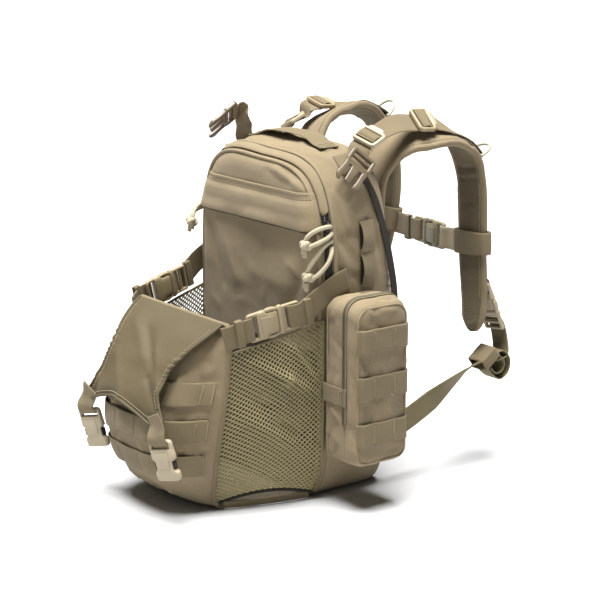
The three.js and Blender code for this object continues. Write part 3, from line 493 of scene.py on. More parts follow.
# Cords: each zip pull is two legs of cord that meet in a knot and end in short tails
pullCord = dict(diameter=4.8, steps=26, sides=10, knotSize=1.6, knotTube=3.0, knotBack=7)
pulls = {
    "right_upper": dict(side=1, z=303, slope=(0.1, -0.3, -1),
        over=[(112.8, -45, 0), (116, -52, 1), (112.5, -63, -2), (106, -69.5, -9), (102.5, -71, -18), (101, -72, -28)],
        under=[(115, -45, -7), (118, -52, -10), (116.5, -61, -14), (111.5, -68.5, -18), (106, -72, -21),
               (105, -73, -31)]),
    "right_lower": dict(side=1, z=287, slope=(0.1, -0.2, -1),
        over=[(115, -45, 1), (117, -53, -1), (113.5, -62, -12), (107.5, -68.5, -26), (105, -71, -37), (103, -72, -49)],
        under=[(115.4, -45, -6), (120, -49, -11), (120.5, -54, -21), (116, -64, -33), (108.5, -71.5, -40),
               (109, -73, -51)]),
    "left": dict(side=-1, z=298, slope=(0, -0.3, -1),
        over=[(113.6, -45, 0), (117, -52, -3), (117, -60, -8), (115, -65.5, -15), (114, -67, -22), (113, -68, -31)],
        under=[(115, -45, -7), (120, -53, -9), (121, -60.5, -13), (118.5, -66, -19), (117, -68, -25), (118, -69, -34)]),
}


def knotShape(centre, slope, size, tube):
    # a three-lobed knot, flattened a little, with its axis along the cord
    t = np.linspace(0, 2 * np.pi, 90, endpoint=False)
    line = np.stack([np.sin(t) + 2 * np.sin(2 * t), np.cos(t) - 2 * np.cos(2 * t), -1.25 * np.sin(3 * t)], -1)
    line = line * size
    axis = unit(np.array(slope, float))
    x = unit(np.cross(axis, [0.3, 1, 0.2]))
    line = centre + line[:, :1] * x + line[:, 1:2] * np.cross(axis, x) + line[:, 2:] * axis
    tangent = loopTangent(line)
    side = unit(np.cross(tangent, line - centre))
    return tubeShape(line, side, np.cross(tangent, side), roundProfile(tube, tube, 1, 10), closed=True)


def addPulls():
    c = pullCord
    half = c["diameter"] / 2
    for name, pull in pulls.items():
        legs = []
        for leg in ("over", "under"):
            line = np.array([(pull["side"] * out, y, pull["z"] + rise) for out, y, rise in pull[leg]])
            line = evenLine(throughPoints(line, 120), c["steps"])
            shape = pipeShape(line, (0.2, 0.3, 1), half, half, 1, c["sides"])
            piece = addShape(f"pull_{name}_{leg}", shape, cordFinish, "cord", stands=[f"zip_pull_{name}"])
            legs.append((piece, line))
        middle = sum(line[-c["knotBack"]] for _, line in legs) / 2
        shape = knotShape(middle, pull["slope"], c["knotSize"], c["knotTube"])
        knot = addShape(f"pull_{name}_knot", shape, cordFinish, "cord")
        for piece, line in legs:
            float(walked(line)[-1]) * mm


addPulls()
print("zip pull cords made")


# Main bag
bag = dict(
    middle=190, topRound=4, baseRound=6, baseDrop=6, columns=264, wall=2.0, shadeTop=166, shadeFront=-56,
    # station, half width, top, lift of the base's edge
    sections=[(-61, 96, 350, 10), (-59.5, 101, 356, 6), (-56, 106, 361, 2.5), (-50, 110, 365, 0.6),
              (-44, 111.5, 368, 0), (-10, 113, 380, 0), (20, 112.5, 378, 0), (34, 109, 370, 0), (41, 103, 361, 4),
              (46, 94, 350, 12)],
    frontDome=3, zipSeam=-46, backSeam=38, lean=(0.06, 0.02),
    # folds: from, to, width, depth
    folds=[
        ((112, -40, 300), (113, -20, 250), 7, 2.2), ((112, -34, 290), (114, -8, 262), 6, -2.4),
        ((112, -10, 330), (113, 10, 262), 9, 2.0), ((111, 4, 335), (113, 22, 275), 7, -2.2),
        ((110, 20, 340), (112, 30, 290), 6, 1.6), ((112, -42, 262), (113, -10, 244), 6, -2.2),
        ((60, -30, 376), (96, -6, 356), 7, 1.6), ((40, 0, 380), (80, 22, 368), 8, -1.8),
        ((-70, -30, 372), (-20, 6, 382), 9, 1.4),
        ((35, -62, 356), (84, -60, 340), 5, 2.6), ((52, -60, 361), (92, -56, 346), 4, -2.6),
        ((20, -62, 352), (60, -62, 342), 5, -1.8),
        ((44, -66, 360), (40, -68, 340), 4, 1.8), ((60, -65, 356), (52, -67, 338), 4, -2.0),
        ((76, -62, 350), (66, -66, 336), 4, 2.0),
        ((20, -64, 268), (86, -63, 274), 13, -2.4), ((0, -64, 238), (56, -64, 232), 15, 1.8),
        ((90, -62, 256), (62, -64, 200), 12, -2.6),
        ((66, -64, 256), (92, -62, 240), 8, 1.8), ((-70, -64, 285), (-30, -64, 225), 14, 2.2),
        ((-86, -62, 280), (-60, -64, 215), 9, -2.0)],
    crumple=0.8,
    frontCreases=dict(count=16, reach=9, width=(7, 10), depth=(0.4, 0.9)),
    wallCreases=dict(count=150, reach=9, width=(3.5, 6), depth=(0.8, 2.0)))


def bagOutline(stations, angle, standOff=0.0):
    # superellipse round the bag: half width by a power of the cosine, height from the middle by a power of the sine
    row = tableAt(bag["sections"], 0, stations)
    half, top, lift = row[:, 1:2] + standOff, row[:, 2:3] + standOff, row[:, 3:4]
    c, s = np.cos(angle), np.sin(angle)
    power = np.where(s >= 0, 2 / bag["topRound"], 2 / bag["baseRound"])
    rise = np.where(s >= 0, top - bag["middle"], bag["middle"] + bag["baseDrop"])
    x = half * signedPower(c, power)
    z = np.maximum(lift, bag["middle"] + rise * signedPower(s, power))
    y = np.broadcast_to(row[:, :1], x.shape)
    z = z - np.where(x < 0, bag["lean"][0], bag["lean"][1]) * x * smoothStep(240, 335, z) * smoothStep(-22, -42, y)
    return np.stack([x, y, z], -1)


def bagRings(stations):
    # rings start under the base, where the seam doesn't show
    angle = np.linspace(-np.pi / 2, 1.5 * np.pi, 2400, endpoint=False)
    return evenColumns(bagOutline(stations, angle), bag["columns"], True)


def bagHalf(y, z):
    row = tableAt(bag["sections"], 0, np.full(np.size(z), y) if np.ndim(y) == 0 else y)
    z = np.ravel(z)
    power = np.where(z >= bag["middle"], bag["topRound"], bag["baseRound"])
    rise = np.where(z >= bag["middle"], row[:, 2] - bag["middle"], bag["middle"] + bag["baseDrop"])
    return row[:, 1] * (1 - np.minimum(np.abs((z - bag["middle"]) / rise), 1) ** power) ** (1 / power)


def bagTop(y, x):
    row = tableAt(bag["sections"], 0, [y])[0]
    return bag["middle"] + (row[2] - bag["middle"]) * (1 - np.abs(np.asarray(x) / row[1]) ** 4) ** 0.25


def capGrid(edge, dome, shares):
    # the end's outline drawn in to its middle, domed by one less the squared share
    share = np.asarray(shares)[:, None]
    station = edge[:, 1] + dome * (1 - share**2)
    return np.stack([edge[:, 0] * share, station, mix(bag["middle"], edge[:, 2], share)], -1)


def creased(grid, seed, count, reach, width, depth):
    # short creases between seeded places of the grid that are a few steps apart
    rng = np.random.default_rng(seed)
    rows, cols = grid.shape[:2]
    i, j = rng.integers(0, rows, count), rng.integers(0, cols, count)
    di, dj = rng.integers(-reach, reach + 1, (2, count))
    ends = grid[np.clip(i + di, 0, rows - 1), np.clip(j + dj, 0, cols - 1)] + 0.01
    widths, depths = rng.uniform(*width, count), rng.uniform(*depth, count)
    return foldField(grid, zip(grid[i, j], ends, widths, depths * rng.choice([-1, 1], count)))


def wrinkled(grid, wrap, turn, folds, crumple, seed, keep, creases=None):
    # folds, soft waves of two sizes and creases, along the normals and only where keep lets them
    normal = gridNormals(grid, wrap) * turn
    depth = foldField(grid, folds) + crumple * (softNoise(grid, 70, seed) + 0.45 * softNoise(grid, 26, seed + 1))
    if creases:
        depth = depth + creased(grid, seed, **creases)
    return grid + normal * (depth * keep)[..., None]


def equidistant(grid):
    # flat place: distance from the last row's middle, along the direction it is seen in
    ring = np.concatenate([grid, grid[:, :1]], 1)
    far = walked(ring[::-1], 0)[::-1]
    way = unit(np.stack([ring[..., 0], ring[..., 2] - bag["middle"]], -1))
    return way * (far + 3)[..., None]


def addBag():
    stations = np.r_[np.linspace(bag["zipSeam"] - seamHalf, -56, 8), np.linspace(-57, -61, 8)]
    rings = bagRings(stations)
    front = np.concatenate([rings, capGrid(rings[-1], -bag["frontDome"], np.linspace(0.975, 0.03, 44))])
    keep = smoothStep(0, 5, np.arange(len(front)))[:, None]
    front = wrinkled(front, True, 1, bag["folds"], bag["crumple"] * 0.5, 3, keep, bag["frontCreases"])
    piece = addGrid("front_panel_cloth", front, [clothFinish, pocketShadeFinish], "cloth", wrap=True, pole=front[-1].mean(0),
                    flat=equidistant(front), thick=bag["wall"], stands=["front_panel"])
    # painted shade where the front panel is inside the pocket: these faces take the dark pocket finish
    inside = (front[:-1, :, 2] < bag["shadeTop"]) & (front[:-1, :, 1] < bag["shadeFront"])
    markFaces(piece, np.r_[inside.ravel(), np.zeros(bag["columns"], bool)])

    rows = np.arange(46)
    wall = bagRings(np.linspace(bag["backSeam"] - seamHalf, bag["zipSeam"] + seamHalf, rows.size))
    keep = smoothStep(0, 6, np.minimum(rows, rows[::-1]))[:, None] * smoothStep(8, 40, wall[..., 2])
    wall = wrinkled(wall, True, 1, bag["folds"], bag["crumple"], 11, keep, bag["wallCreases"])
    addGrid("bag_wall_cloth", wall, clothFinish, "cloth", wrap=True, thick=bag["wall"], stands=["bag_wall"])

    stations = np.r_[np.linspace(bag["backSeam"] + 3 * seamHalf, 43, 7), np.linspace(43.7, 46, 6)]
    rings = bagRings(stations)
    back = np.concatenate([rings, capGrid(rings[-1], 0.0, np.linspace(0.97, 0.03, 34))])
    back = wrinkled(back, True, -1, [], 0.5, 21, smoothStep(0, 6, np.arange(len(back)))[:, None])
    addGrid("back_panel_cloth", back, padNetFinish, "cloth", wrap=True, flip=True, pole=back[-1].mean(0),
            flat=equidistant(back), thick=3, stands=["back_panel"])


addBag()


# Arch over the bag: zip, its welts and the weather flap
arch = dict(
    columns=420, zipEdges=(-50, -42), zipEnds=(5.6, 174.4), zipOff=1.6,
    coil=dict(out=-1, half=2.2, base=-0.2, tall=1.5, wave=0.28),
    welts=(-54.4, -37.6), weltEnds=(-14, 194), weltOff=1.2, welt=(2.7, 2.0, 0.8, 14),
    # slider: x, half width, half height, and the bridge's path over it
    slider=[(-6, 2.2, 0.8), (-5.6, 3.0, 1.2), (-3, 3.4, 1.4), (0, 2.6, 1.4), (3, 3.9, 1.4), (5.6, 3.8, 1.2),
            (6, 3, 0.8)],
    bridge=[(-4, 0, 1), (-3, 0, 3), (0, 0, 3.6), (3, 0, 3), (4, 0, 1)])
tooth = 1.5
zipFlap = dict(middle=-46, half=5.2, standOff=3.3, low=30, high=117, thick=1.0, ends=6)


def archGrid(stations, standOff, low, high, count):
    angle = np.linspace(np.radians(low), np.radians(high), 3000)
    return evenColumns(bagOutline(stations, angle, standOff), count)


def addCoil(name, line, hint, material, out, half, base, tall, wave):
    # a half-round ridge along a zip, cut into teeth by a wave whose two halves are out of step
    _, side, face = pathAxes(line, hint)
    across = np.linspace(-1, 1, 9)
    phase = 2 * np.pi * walked(line)[:, None] / tooth + np.where(across > 0, np.pi, 0)
    height = base + tall * np.sqrt(1 - across**2 * 0.96) * (1 - wave + wave * np.sin(phase))
    grid = line[:, None] + side[:, None] * (across * half)[:, None] + out * face[:, None] * height[..., None]
    addGrid(name, grid, material, "zip", flip=True)


def addArch():
    a = arch
    tape = archGrid(np.linspace(*a["zipEdges"], 5), a["zipOff"], *a["zipEnds"], a["columns"])
    addGrid("main_zip_tape", tape, zipFinish, "zip", flip=True, thick=1.0, stands=["main_zip"])
    middle = archGrid([bag["zipSeam"]], a["zipOff"], *a["zipEnds"], 2000)[0]
    addCoil("main_zip_coil", middle, (0, 1, 0), coilFinish, **a["coil"])
    # welts: the turned edges of front and wall along the zip
    for k, y in enumerate(a["welts"]):
        line = archGrid([y], a["weltOff"], *a["weltEnds"], 300)[0]
        addShape(f"zip_welt_{k}", pipeShape(line, (0, 1, 0), *a["welt"]), clothFinish, "cloth")
    # sliders: a waisted body with a bridge for the cord
    bridge = pipeShape(throughPoints(a["bridge"], 16), (0, 1, 0), 1.2, 0.7)
    points, faces, flat = joined([blockShape(a["slider"]), bridge])
    for name, pull in pulls.items():
        sign = pull["side"]
        out = sign * (bagHalf(bag["zipSeam"], [pull["z"]])[0] + a["zipOff"] + 0.9)
        place = np.array([out, bag["zipSeam"], pull["z"]]) + points[:, ::-1] * [sign, -sign, 1]
        addShape(f"zip_slider_{name}", (place, faces, flat), coilFinish, "zip", sharp=50)


def addZipFlap():
    # a strip over the zip that follows the bag, crowned a little, its edges turned down and its ends drawn in
    z = zipFlap
    across = np.linspace(-1, 1, 17)
    lift = z["standOff"] + 0.5 * (1 - across**2) - 1.5 * across**8
    grid = archGrid(z["middle"] + z["half"] * across, lift[:, None], z["low"], z["high"], 300)
    walk = walked(grid[8])
    near = np.minimum(walk, walk[-1] - walk)
    drawn = np.sqrt(1 - np.clip(1 - near / z["ends"], 0, 1) ** 2 * 0.9)
    grid[..., 1] = z["middle"] + (grid[..., 1] - z["middle"]) * drawn
    grid = grid + gridNormals(grid) * (0.3 * softNoise(grid, 40, 15))[..., None]
    piece = addGrid("zip_flap_cloth", grid, clothFinish, "cloth", flip=True, thick=z["thick"], stands=["zip_flap"])


addArch()
addZipFlap()
print("bag, zip and weather flap made")


# Band flap of the front pocket: sewn along its top, a soft belly, and a free lower edge
band = dict(top=336, base=297, standOff=2.6, belly=3.6, thick=1.6, columns=220, rows=34, wrapTo=-51, domeRise=165)


def frontSlice(z, reach):
    # outline of the bag's front at one height, from side to side: round both corners and across the dome
    end, half = bag["sections"][0][:2]
    y = np.linspace(reach, end, 24)
    corner = np.stack([bagHalf(y, np.full(24, z)), y, np.full(24, z)], -1)
    x = np.linspace(corner[-1, 0], -corner[-1, 0], 60)[1:-1]
    share = np.minimum(1, np.hypot(x / half, (z - bag["middle"]) / band["domeRise"]))
    face = np.stack([x, end - bag["frontDome"] * (1 - share**2), np.full(58, z)], -1)
    return np.vstack([corner, face, (corner * [-1, 1, 1])[::-1]])


def addBand():
    b = band
    heights = np.linspace(b["top"], b["base"], b["rows"])
    grid = evenColumns([frontSlice(z, b["wrapTo"]) for z in heights], b["columns"])[:, ::-1]
    fall = ((b["top"] - heights) / (b["top"] - b["base"]))[:, None]
    s = np.linspace(-1, 1, b["columns"])[None]
    ends = 1 - s**10
    sewn = smoothStep(0.1, 0.36, fall)
    lift = b["standOff"] + b["belly"] * np.sin(np.pi * np.clip(fall * 0.9 + 0.02, 0, 1)) ** 1.2 * ends * sewn
    lift = lift + 3.4 * ends * smoothStep(0.6, 1, fall) * (1 + 0.35 * np.sin(s * 7 + 0.6))
    lift = lift + 0.4 * softNoise(grid, 44, 5) * sewn * ends - 0.3 * np.exp(-((fall - 0.16) / 0.03) ** 2)
    grid = grid - gridNormals(grid) * lift[..., None]
    grid[..., 2] += 0.6 * fall * np.sin(s * 5 + 1.1)
    piece = addGrid("front_band_cloth", grid, clothFinish, "cloth", flip=True, thick=b["thick"],
                    stands=["front_band_flap"])
    normal = -gridNormals(grid)
    # painted shadow: a dark strip just inside the free edge, standing in for the shaded gap under the band
    inward = normal[-1, 6:-6]
    edge = grid[-1, 6:-6] - inward * 2.4
    gapShadow = np.stack([edge + [0, 0, 3.0], edge, edge - [0, 0, 2.2], edge - [0, 0, 2.4] - inward * 2.0])
    addGrid("front_band_painted_shadow", gapShadow, darkWebAndShadeFinish, "cloth", flip=True)
    lines = [stitchShape(grid[r, 4:-4], normal[r, 4:-4], wide=0.9) for r in (2, 6)]
    addShape("front_band_thread", joined(lines), seamFinish, "cloth")


addBand()


# Grab handle: webbing bow sewn down at both ends
handle = dict(stops=[(-68, 1.4), (-52, 0.4), (-36.4, 4.6), (0, 6.6), (36.4, 4.6), (50, 0.4), (64, 1.0)], y=-8)


def addHandle():
    y = handle["y"]
    stops = [((x, y, float(bagTop(y, x)) + 1.4 + rise), (0, 1, 0)) for x, rise in handle["stops"]]
    addShape("grab_handle_web", strapShape(stops, count=90), webFinish, "webbing", stands=["grab_handle"])
    lines = []
    for sign in (1, -1):
        a, b = np.array(stops[0][0]) * [sign, 1, 1], np.array(stops[1][0]) * [sign, 1, 1]
        corner = mix(a, b, 0.1) + [0, -10, 1.0]
        lines += boxStitchLines(corner, unit(b - a), (0, 1, 0), 20, 12, np.array([0, 0, 1.0]))
    addShape("grab_handle_thread", joined(lines), threadFinish, "webbing")


addHandle()
print("band flap and handle made")


# Cargo pocket: domed shield that turns under as a floor, net sides, coated flap
pocket = dict(
    round=4, columns=134, rows=116, wall=2.0, shadeTop=3, shadeFront=-152,
    # height, middle and edge station, half width, from the rim down and under
    sections=[(207, -157, -156, 84), (197, -172, -156, 86), (180, -192, -157, 88), (150, -213, -160, 88),
              (120, -227, -164, 87), (90, -231, -167, 84), (60, -226, -168, 78), (30, -208, -166, 70),
              (12, -186, -162, 63), (4, -170, -156, 62), (0, -150, -146, 65), (0, -124, -122, 74),
              (0, -90, -88, 84), (0, -57, -57, 90)],
    folds=[((60, -205, 118), (84, -170, 112), 4, 1.8), ((62, -200, 80), (82, -172, 72), 4, -1.8),
           ((50, -214, 62), (70, -180, 44), 5, 2.0), ((20, -224, 44), (52, -200, 26), 5, -2.0),
           ((-10, -220, 34), (24, -205, 20), 5, 1.8), ((-50, -210, 46), (-20, -210, 24), 5, -1.8),
           ((-60, -208, 80), (-30, -228, 76), 5, 1.5), ((64, -206, 158), (86, -166, 150), 4, -1.5)],
    crumple=0.7, creases=dict(count=110, reach=12, width=(3, 5.5), depth=(0.8, 2.2)),
    binding=(1.9, 2.6, 0.6, 12), bindingLow=2.7, bindingReach=0.74)
shieldRows = pocket["sections"][:10]
rows25 = dict(tops=(("upper", 150), ("middle", 110), ("lower", 70)), height=25.4, reach=0.94, spread=1.03, standOff=4.0,
              thick=1.5, bay=38)


def pocketTable(t):
    # the sections as cubics of the length walked down the middle line
    table = np.array(pocket["sections"], float)
    walk = walked(table[:, [1, 0]])
    return tableAt(np.column_stack([walk, table]).tolist(), 0, t), walk[-1]


def pocketGrid(table, columns):
    # half width times s; the station goes from edge to middle by one less the fourth power of s
    s = np.sin(np.linspace(-1, 1, 400) * np.pi / 2)
    crown = 1 - np.abs(s) ** pocket["round"]
    station = mix(table[:, 3:4], table[:, 2:3], crown)
    return evenColumns(np.stack(np.broadcast_arrays(table[:, 4:5] * s, station, table[:, 1:2]), -1), columns)


def shieldAt(z, s):
    # the shield at heights and shares of its half width
    row = tableAt(shieldRows, 0, z)
    crown = 1 - np.abs(s) ** pocket["round"]
    return np.stack([row[:, 3] * s, mix(row[:, 2], row[:, 1], crown), row[:, 0]], -1)


def addPocketFront():
    p = pocket
    total = pocketTable([0])[1]
    grid = pocketGrid(pocketTable(np.linspace(0, total, p["rows"]))[0], p["columns"])
    columns = np.arange(p["columns"])
    keep = smoothStep(0, 6, np.arange(p["rows"]))[:, None] * smoothStep(3, 25, grid[..., 2])
    keep = keep * smoothStep(0, 10, np.minimum(columns, columns[::-1]))
    grid = wrinkled(grid, False, -1, p["folds"], p["crumple"], 31, keep, p["creases"])
    piece = addGrid("pocket_shield", grid, [clothFinish, pocketShadeFinish], "cloth", flip=True, thick=p["wall"],
                    stands=["pocket_front"])
    # painted shade on the pocket's floor: its faces take the dark pocket finish
    floor = (grid[:-1, :-1, 2] < p["shadeTop"]) & (grid[:-1, :-1, 1] > p["shadeFront"])
    markFaces(piece, floor.ravel())
    # binding tape round the shield's rim and down both sides, kept off the ground
    down = grid[:int(p["rows"] * p["bindingReach"])]
    line = evenLine(np.vstack([down[::-1, 0], down[0, 1:-1], down[:, -1]]), 260)
    line[:, 2] = np.maximum(line[:, 2], p["bindingLow"])
    shape = pipeShape(line, line - np.array([0, -120, 110.0]), *p["binding"])
    addShape("pocket_binding", shape, webFinish, "webbing")


addPocketFront()


def addPocketRows():
    # webbing rows: tacked down every bay, bowed out a little between the tacks
    r = rows25
    s = np.sin(np.linspace(-1, 1, 261) * np.pi / 2) * r["reach"]
    across = np.linspace(-1, 1, 13)[:, None]
    threads = []
    for name, top in r["tops"]:
        grid = np.array([shieldAt(np.full(s.size, z), s) for z in np.linspace(top, top - r["height"], across.size)])
        grid[..., 0] *= r["spread"]
        grid[..., 1] -= r["standOff"] * (1 - np.abs(s) / 2)
        walk = walked(grid[6])
        place = (walk - walk[-1] / 2) / r["bay"]
        bow = np.abs(np.sin(np.pi * (place + 0.5))) ** 0.6
        lift = (1.9 * bow - 1.3) * (1 - 0.25 * across**2) + 0.35 * softNoise(grid, 30, top)
        grid = grid - gridNormals(grid) * lift[..., None]
        addGrid(f"pocket_row_{name}_web", grid, webFinish, "webbing", flip=True, thick=r["thick"],
                stands=[f"pocket_row_{name}"])
        tacks = np.flatnonzero(np.diff(np.floor(place + 0.5)) > 0)
        threads += tackLines(grid, -gridNormals(grid), [4, *tacks.tolist(), s.size - 5])
    addShape("pocket_row_thread", joined(threads), threadFinish, "webbing")


addPocketRows()

net = dict(
    thick=1.3, bulge=7, arch=11, low=7, rearY=-52, frontTop=178, rearTop=203, cell=4.0, hole=0.77, stretch=(1.1, 0.92),
    wide=112, tall=178, bound=(1.3, 1.1, 0.8, 10), archEdge=(1.9, 1.9, 0.8, 10), tape=(3.0, 1.3, 0.6, 12),
    floorEdge=[(66, -152, 5.5), (76, -124, 5), (86, -92, 5.5), (93, -58, 5)],
    folds=[((90, -168, 185), (108, -98, 146), 8, 6.5), ((108, -98, 146), (116, -50, 116), 8, 5.0),
           ((108, -90, 177), (116, -45, 112), 7, 5.5), ((100, -150, 140), (106, -120, 118), 12, -6.5),
           ((110, -100, 95), (112, -80, 80), 12, -5.0), ((96, -160, 95), (100, -150, 80), 12, -4.0),
           ((112, -72, 168), (113, -62, 152), 9, -6.0), ((98, -150, 110), (112, -75, 62), 9, 4.0),
           ((94, -158, 62), (108, -100, 40), 8, 3.5)])


def netPoint(sign, a, b):
    # straight from the shield's edge to the bag, bowed out by a sine both ways
    top = mix(net["frontTop"], net["rearTop"], a)
    low = net["low"] + net["arch"] * np.sin(np.pi * a)
    z = mix(top, low, b)
    row = tableAt(shieldRows, 0, z)
    front = np.stack([row[:, 3] + 0.3, row[:, 2] + 1, z], -1)
    rear = np.stack([bagHalf(float(net["rearY"]), z) + net["thick"] + 1.1, np.full(z.size, net["rearY"]), z], -1)
    p = mix(front, rear, a[:, None])
    p[:, 0] += net["bulge"] * np.sin(np.pi * a) * np.sin(np.pi * mix(0.15, 0.9, b))
    p[:, 0] += foldField(p, net["folds"]) * np.sin(np.pi * a) ** 0.7 * np.sin(np.pi * np.clip(b, 0.02, 1)) ** 0.5
    return p * [sign, 1, 1]


def latticeShape():
    # square cells turned by an eighth, each with an eight-sided hole; cells past the edge are drawn in to it
    c, size = net["cell"], np.array([net["wide"], net["tall"]])
    i, j = np.mgrid[-64:64, -64:64].reshape(2, -1)
    middle = np.stack([(i - j) * c / np.sqrt(2), (i + j) * c / np.sqrt(2)], -1) * net["stretch"]
    middle = middle[((middle > -0.4 * c) & (middle < size + 0.4 * c)).all(1)]
    k = np.arange(8)
    even = (k % 2 == 0)[:, None]
    rim = np.stack([np.cos(k * np.pi / 4), np.sin(k * np.pi / 4)], -1)
    outer = rim * c / np.sqrt(2) * np.where(even, 1, 1 / np.sqrt(2)) * net["stretch"]
    hole = rim * c / 2 * net["hole"] * np.where(even, 1.12, 1) * net["stretch"]
    points = (middle[:, None] + np.concatenate([outer, hole])).reshape(-1, 2)
    quads = np.stack([k, (k + 1) % 8, 8 + (k + 1) % 8, 8 + k], -1)
    faces = quads + (np.arange(len(middle)) * 16)[:, None, None]
    flat = np.clip(points, 0, size)
    # points that fall together become one, and faces that this closes up are dropped
    _, first, back = np.unique(np.round(flat * 100).astype(int), axis=0, return_index=True, return_inverse=True)
    faces = back.ravel()[faces.reshape(-1, 4)]
    whole = (np.diff(np.sort(faces, 1), axis=1) > 0).all(1)
    return flat[first], faces[whole]


def addNets():
    flat, faces = latticeShape()
    a, b = flat[:, 0] / net["wide"], flat[:, 1] / net["tall"]
    t = np.linspace(0, 1, 60)
    zero, one = 0 * t, 1 + 0 * t
    for name, sign in sides.items():
        turned = faces if sign < 0 else faces[:, ::-1]
        piece = addPiece(f"pocket_net_{name}_mesh", netPoint(sign, a, b), turned.tolist(), netFinish, "net",
                         flat[turned.ravel()], thick=net["thick"], stands=[f"pocket_net_{name}"])
        # a thin bound edge all round
        edge = [netPoint(sign, *place) for place in ((t, zero), (one, t), (t[::-1], one), (zero, t[::-1]))]
        line = evenLine(np.vstack([e[:-1] for e in edge]), 300, True)
        tangent, out = loopTangent(line), np.array([sign, -0.15, 0])
        face = unit(out - tangent * (tangent @ out)[:, None])
        bound = tubeShape(line, np.cross(face, tangent), face, roundProfile(*net["bound"]), closed=True)
        # the floor's edge below, the dark lower edge, and a tape up the shield that lies flat on the lower edge's axes
        floorEdge = [((sign * x, y, z), (sign * 0.3, 0, 0.95)) for x, y, z in net["floorEdge"]]
        addShape(f"pocket_floor_edge_{name}", strapShape(floorEdge, 9, 1.6, 60), webFinish, "webbing")
        low, front = evenLine(edge[2], 80), evenLine(edge[3], 80)
        _, side, face = pathAxes(low, (sign, 0, 0))
        shape = tubeShape(low, side, face, roundProfile(*net["archEdge"]))
        addShape(f"pocket_net_{name}_arch", shape, darkWebAndShadeFinish, "webbing")
        tape = tubeShape(front, side, face, roundProfile(*net["tape"]))
        addShape(f"pocket_net_{name}_tape", joined([bound, tape]), webFinish, "webbing")


addNets()

flap = dict(
    rim=208, thick=1.5, columns=130, rows=78,
    # drop, half width, middle and corner station, sag
    rowsTable=[(0, 80, -159.4, -159.4, 0), (12, 76, -179, -178, 0), (30, 66, -200, -199, 0), (50, 58, -217, -214, -1),
               (70, 58, -229, -224, -6), (88, 66, -236, -230, -12), (100, 74, -238, -231, -16)],
    gather=1.0, gatherPitch=6.5, folds=[
        ((-50, -186, 196), (10, -214, 168), 10, 2.4), ((-20, -190, 190), (40, -220, 158), 9, -2.6),
        ((10, -200, 186), (56, -225, 140), 8, 2.2), ((-40, -215, 160), (0, -236, 128), 9, 2.0),
        ((30, -222, 150), (70, -234, 112), 6, -2.0), ((-62, -224, 140), (-40, -234, 112), 6, 1.8)])


def addFlap():
    f = flap
    s = np.linspace(-1, 1, f["columns"])
    row = tableAt(f["rowsTable"], 0, np.linspace(0, 100, f["rows"]))
    crown = 1 - s**2
    arched = np.clip(1 - ((s + 0.1) / 0.78) ** 2, 0, 1) ** 1.3 + 0.45 * smoothStep(0.8, 1, np.abs(s))
    z = f["rim"] - row[:, :1] - row[:, 4:5] * arched
    grid = np.stack([row[:, 1:2] * s, mix(row[:, 3:4], row[:, 2:3], crown), z], -1)
    walk = walked(grid, 0)
    edge = np.abs(s)[None] ** 10
    waist = smoothStep(6, 40, walk) * smoothStep(0, 26, walk[-1:] - walk)
    # gathers of uneven pitch and depth along both waisted edges
    gathers = f["gather"] * np.sin(2 * np.pi * walk / f["gatherPitch"] + 2.6 * np.sin(walk / 7 + 1))
    gathers = gathers * (0.6 + 0.5 * np.sin(walk / 11 + 2)) * edge * waist
    lower = smoothStep(0.86, 1, np.linspace(0, 1, f["rows"]))[:, None]
    hem = 1.6 * lower * np.sin(6 * s + 0.8)
    soft = foldField(grid, f["folds"]) * smoothStep(2, 26, walk)
    soft = soft + 0.9 * softNoise(grid, 48, 41) * smoothStep(2, 30, walk)
    grid = grid - gridNormals(grid) * (gathers + hem + soft + 0.6)[..., None]
    piece = addGrid("pocket_flap_sheet", grid, coatedFinish, "coated", flip=True, thick=f["thick"],
                    stands=["pocket_flap"])
    # rolled hem round the free edges, and its stitching
    line = evenLine(np.vstack([grid[:, 0], grid[-1, 1:-1], grid[::-1, -1]]), 420)
    hemShape = pipeShape(line, line - np.array([0, -180, 160.0]), 1.5, 1.5, 0.9, 10)
    addShape("pocket_flap_hem", hemShape, coatedFinish, "coated")
    normal = -gridNormals(grid)
    threads = [stitchShape(grid[4:-3, c], normal[4:-3, c]) for c in (5, -6)]
    threads.append(stitchShape(grid[-6, 5:-5], normal[-6, 5:-5]))
    addShape("pocket_flap_thread", joined(threads), threadFinish, "coated")


addFlap()
print("cargo pocket made")


# Side pouch: tray on the bag and lid, parted by a zip
pouch = dict(
    middle=(-19, 142), seam=150, columns=180, wall=2.0,
    # out from the bag's middle, half depth, top, base, corner radius
    sections=[(113.5, 31, 222, 60, 20), (119, 34, 227, 55, 24), (142, 35, 232, 52, 26), (160, 35, 230, 52, 26),
              (167, 33, 226, 55, 24), (170, 28, 219, 61, 20)],
    folds=[((150, -54, 96), (168, -50, 84), 5, -2.0), ((130, -54, 110), (150, -54, 94), 5, 1.6),
           ((120, -52, 84), (165, -50, 70), 6, 1.8), ((126, -52, 190), (148, -54, 176), 5, -1.2),
           ((160, -50, 60), (170, 4, 66), 6, -1.5)],
    lidCreases=dict(count=60, reach=8, width=(3, 5), depth=(0.7, 1.7)),
    trayCreases=dict(count=60, reach=9, width=(3, 5), depth=(0.8, 2.0)),
    piping=(168.2, 120.5), pipe=1.2, zipLow=96, coil=dict(out=1, half=1.9, base=1.7, tall=1.1, wave=0.3),
    rows=(("upper", 203), ("middle", 152), ("lower", 101)))
pouchRow = dict(face=172.9, reach=34, turn=27, drop=3.0, bay=27, bow=1.5, flat=30, height=25.4, thick=1.5,
                tacks=(36, 84))


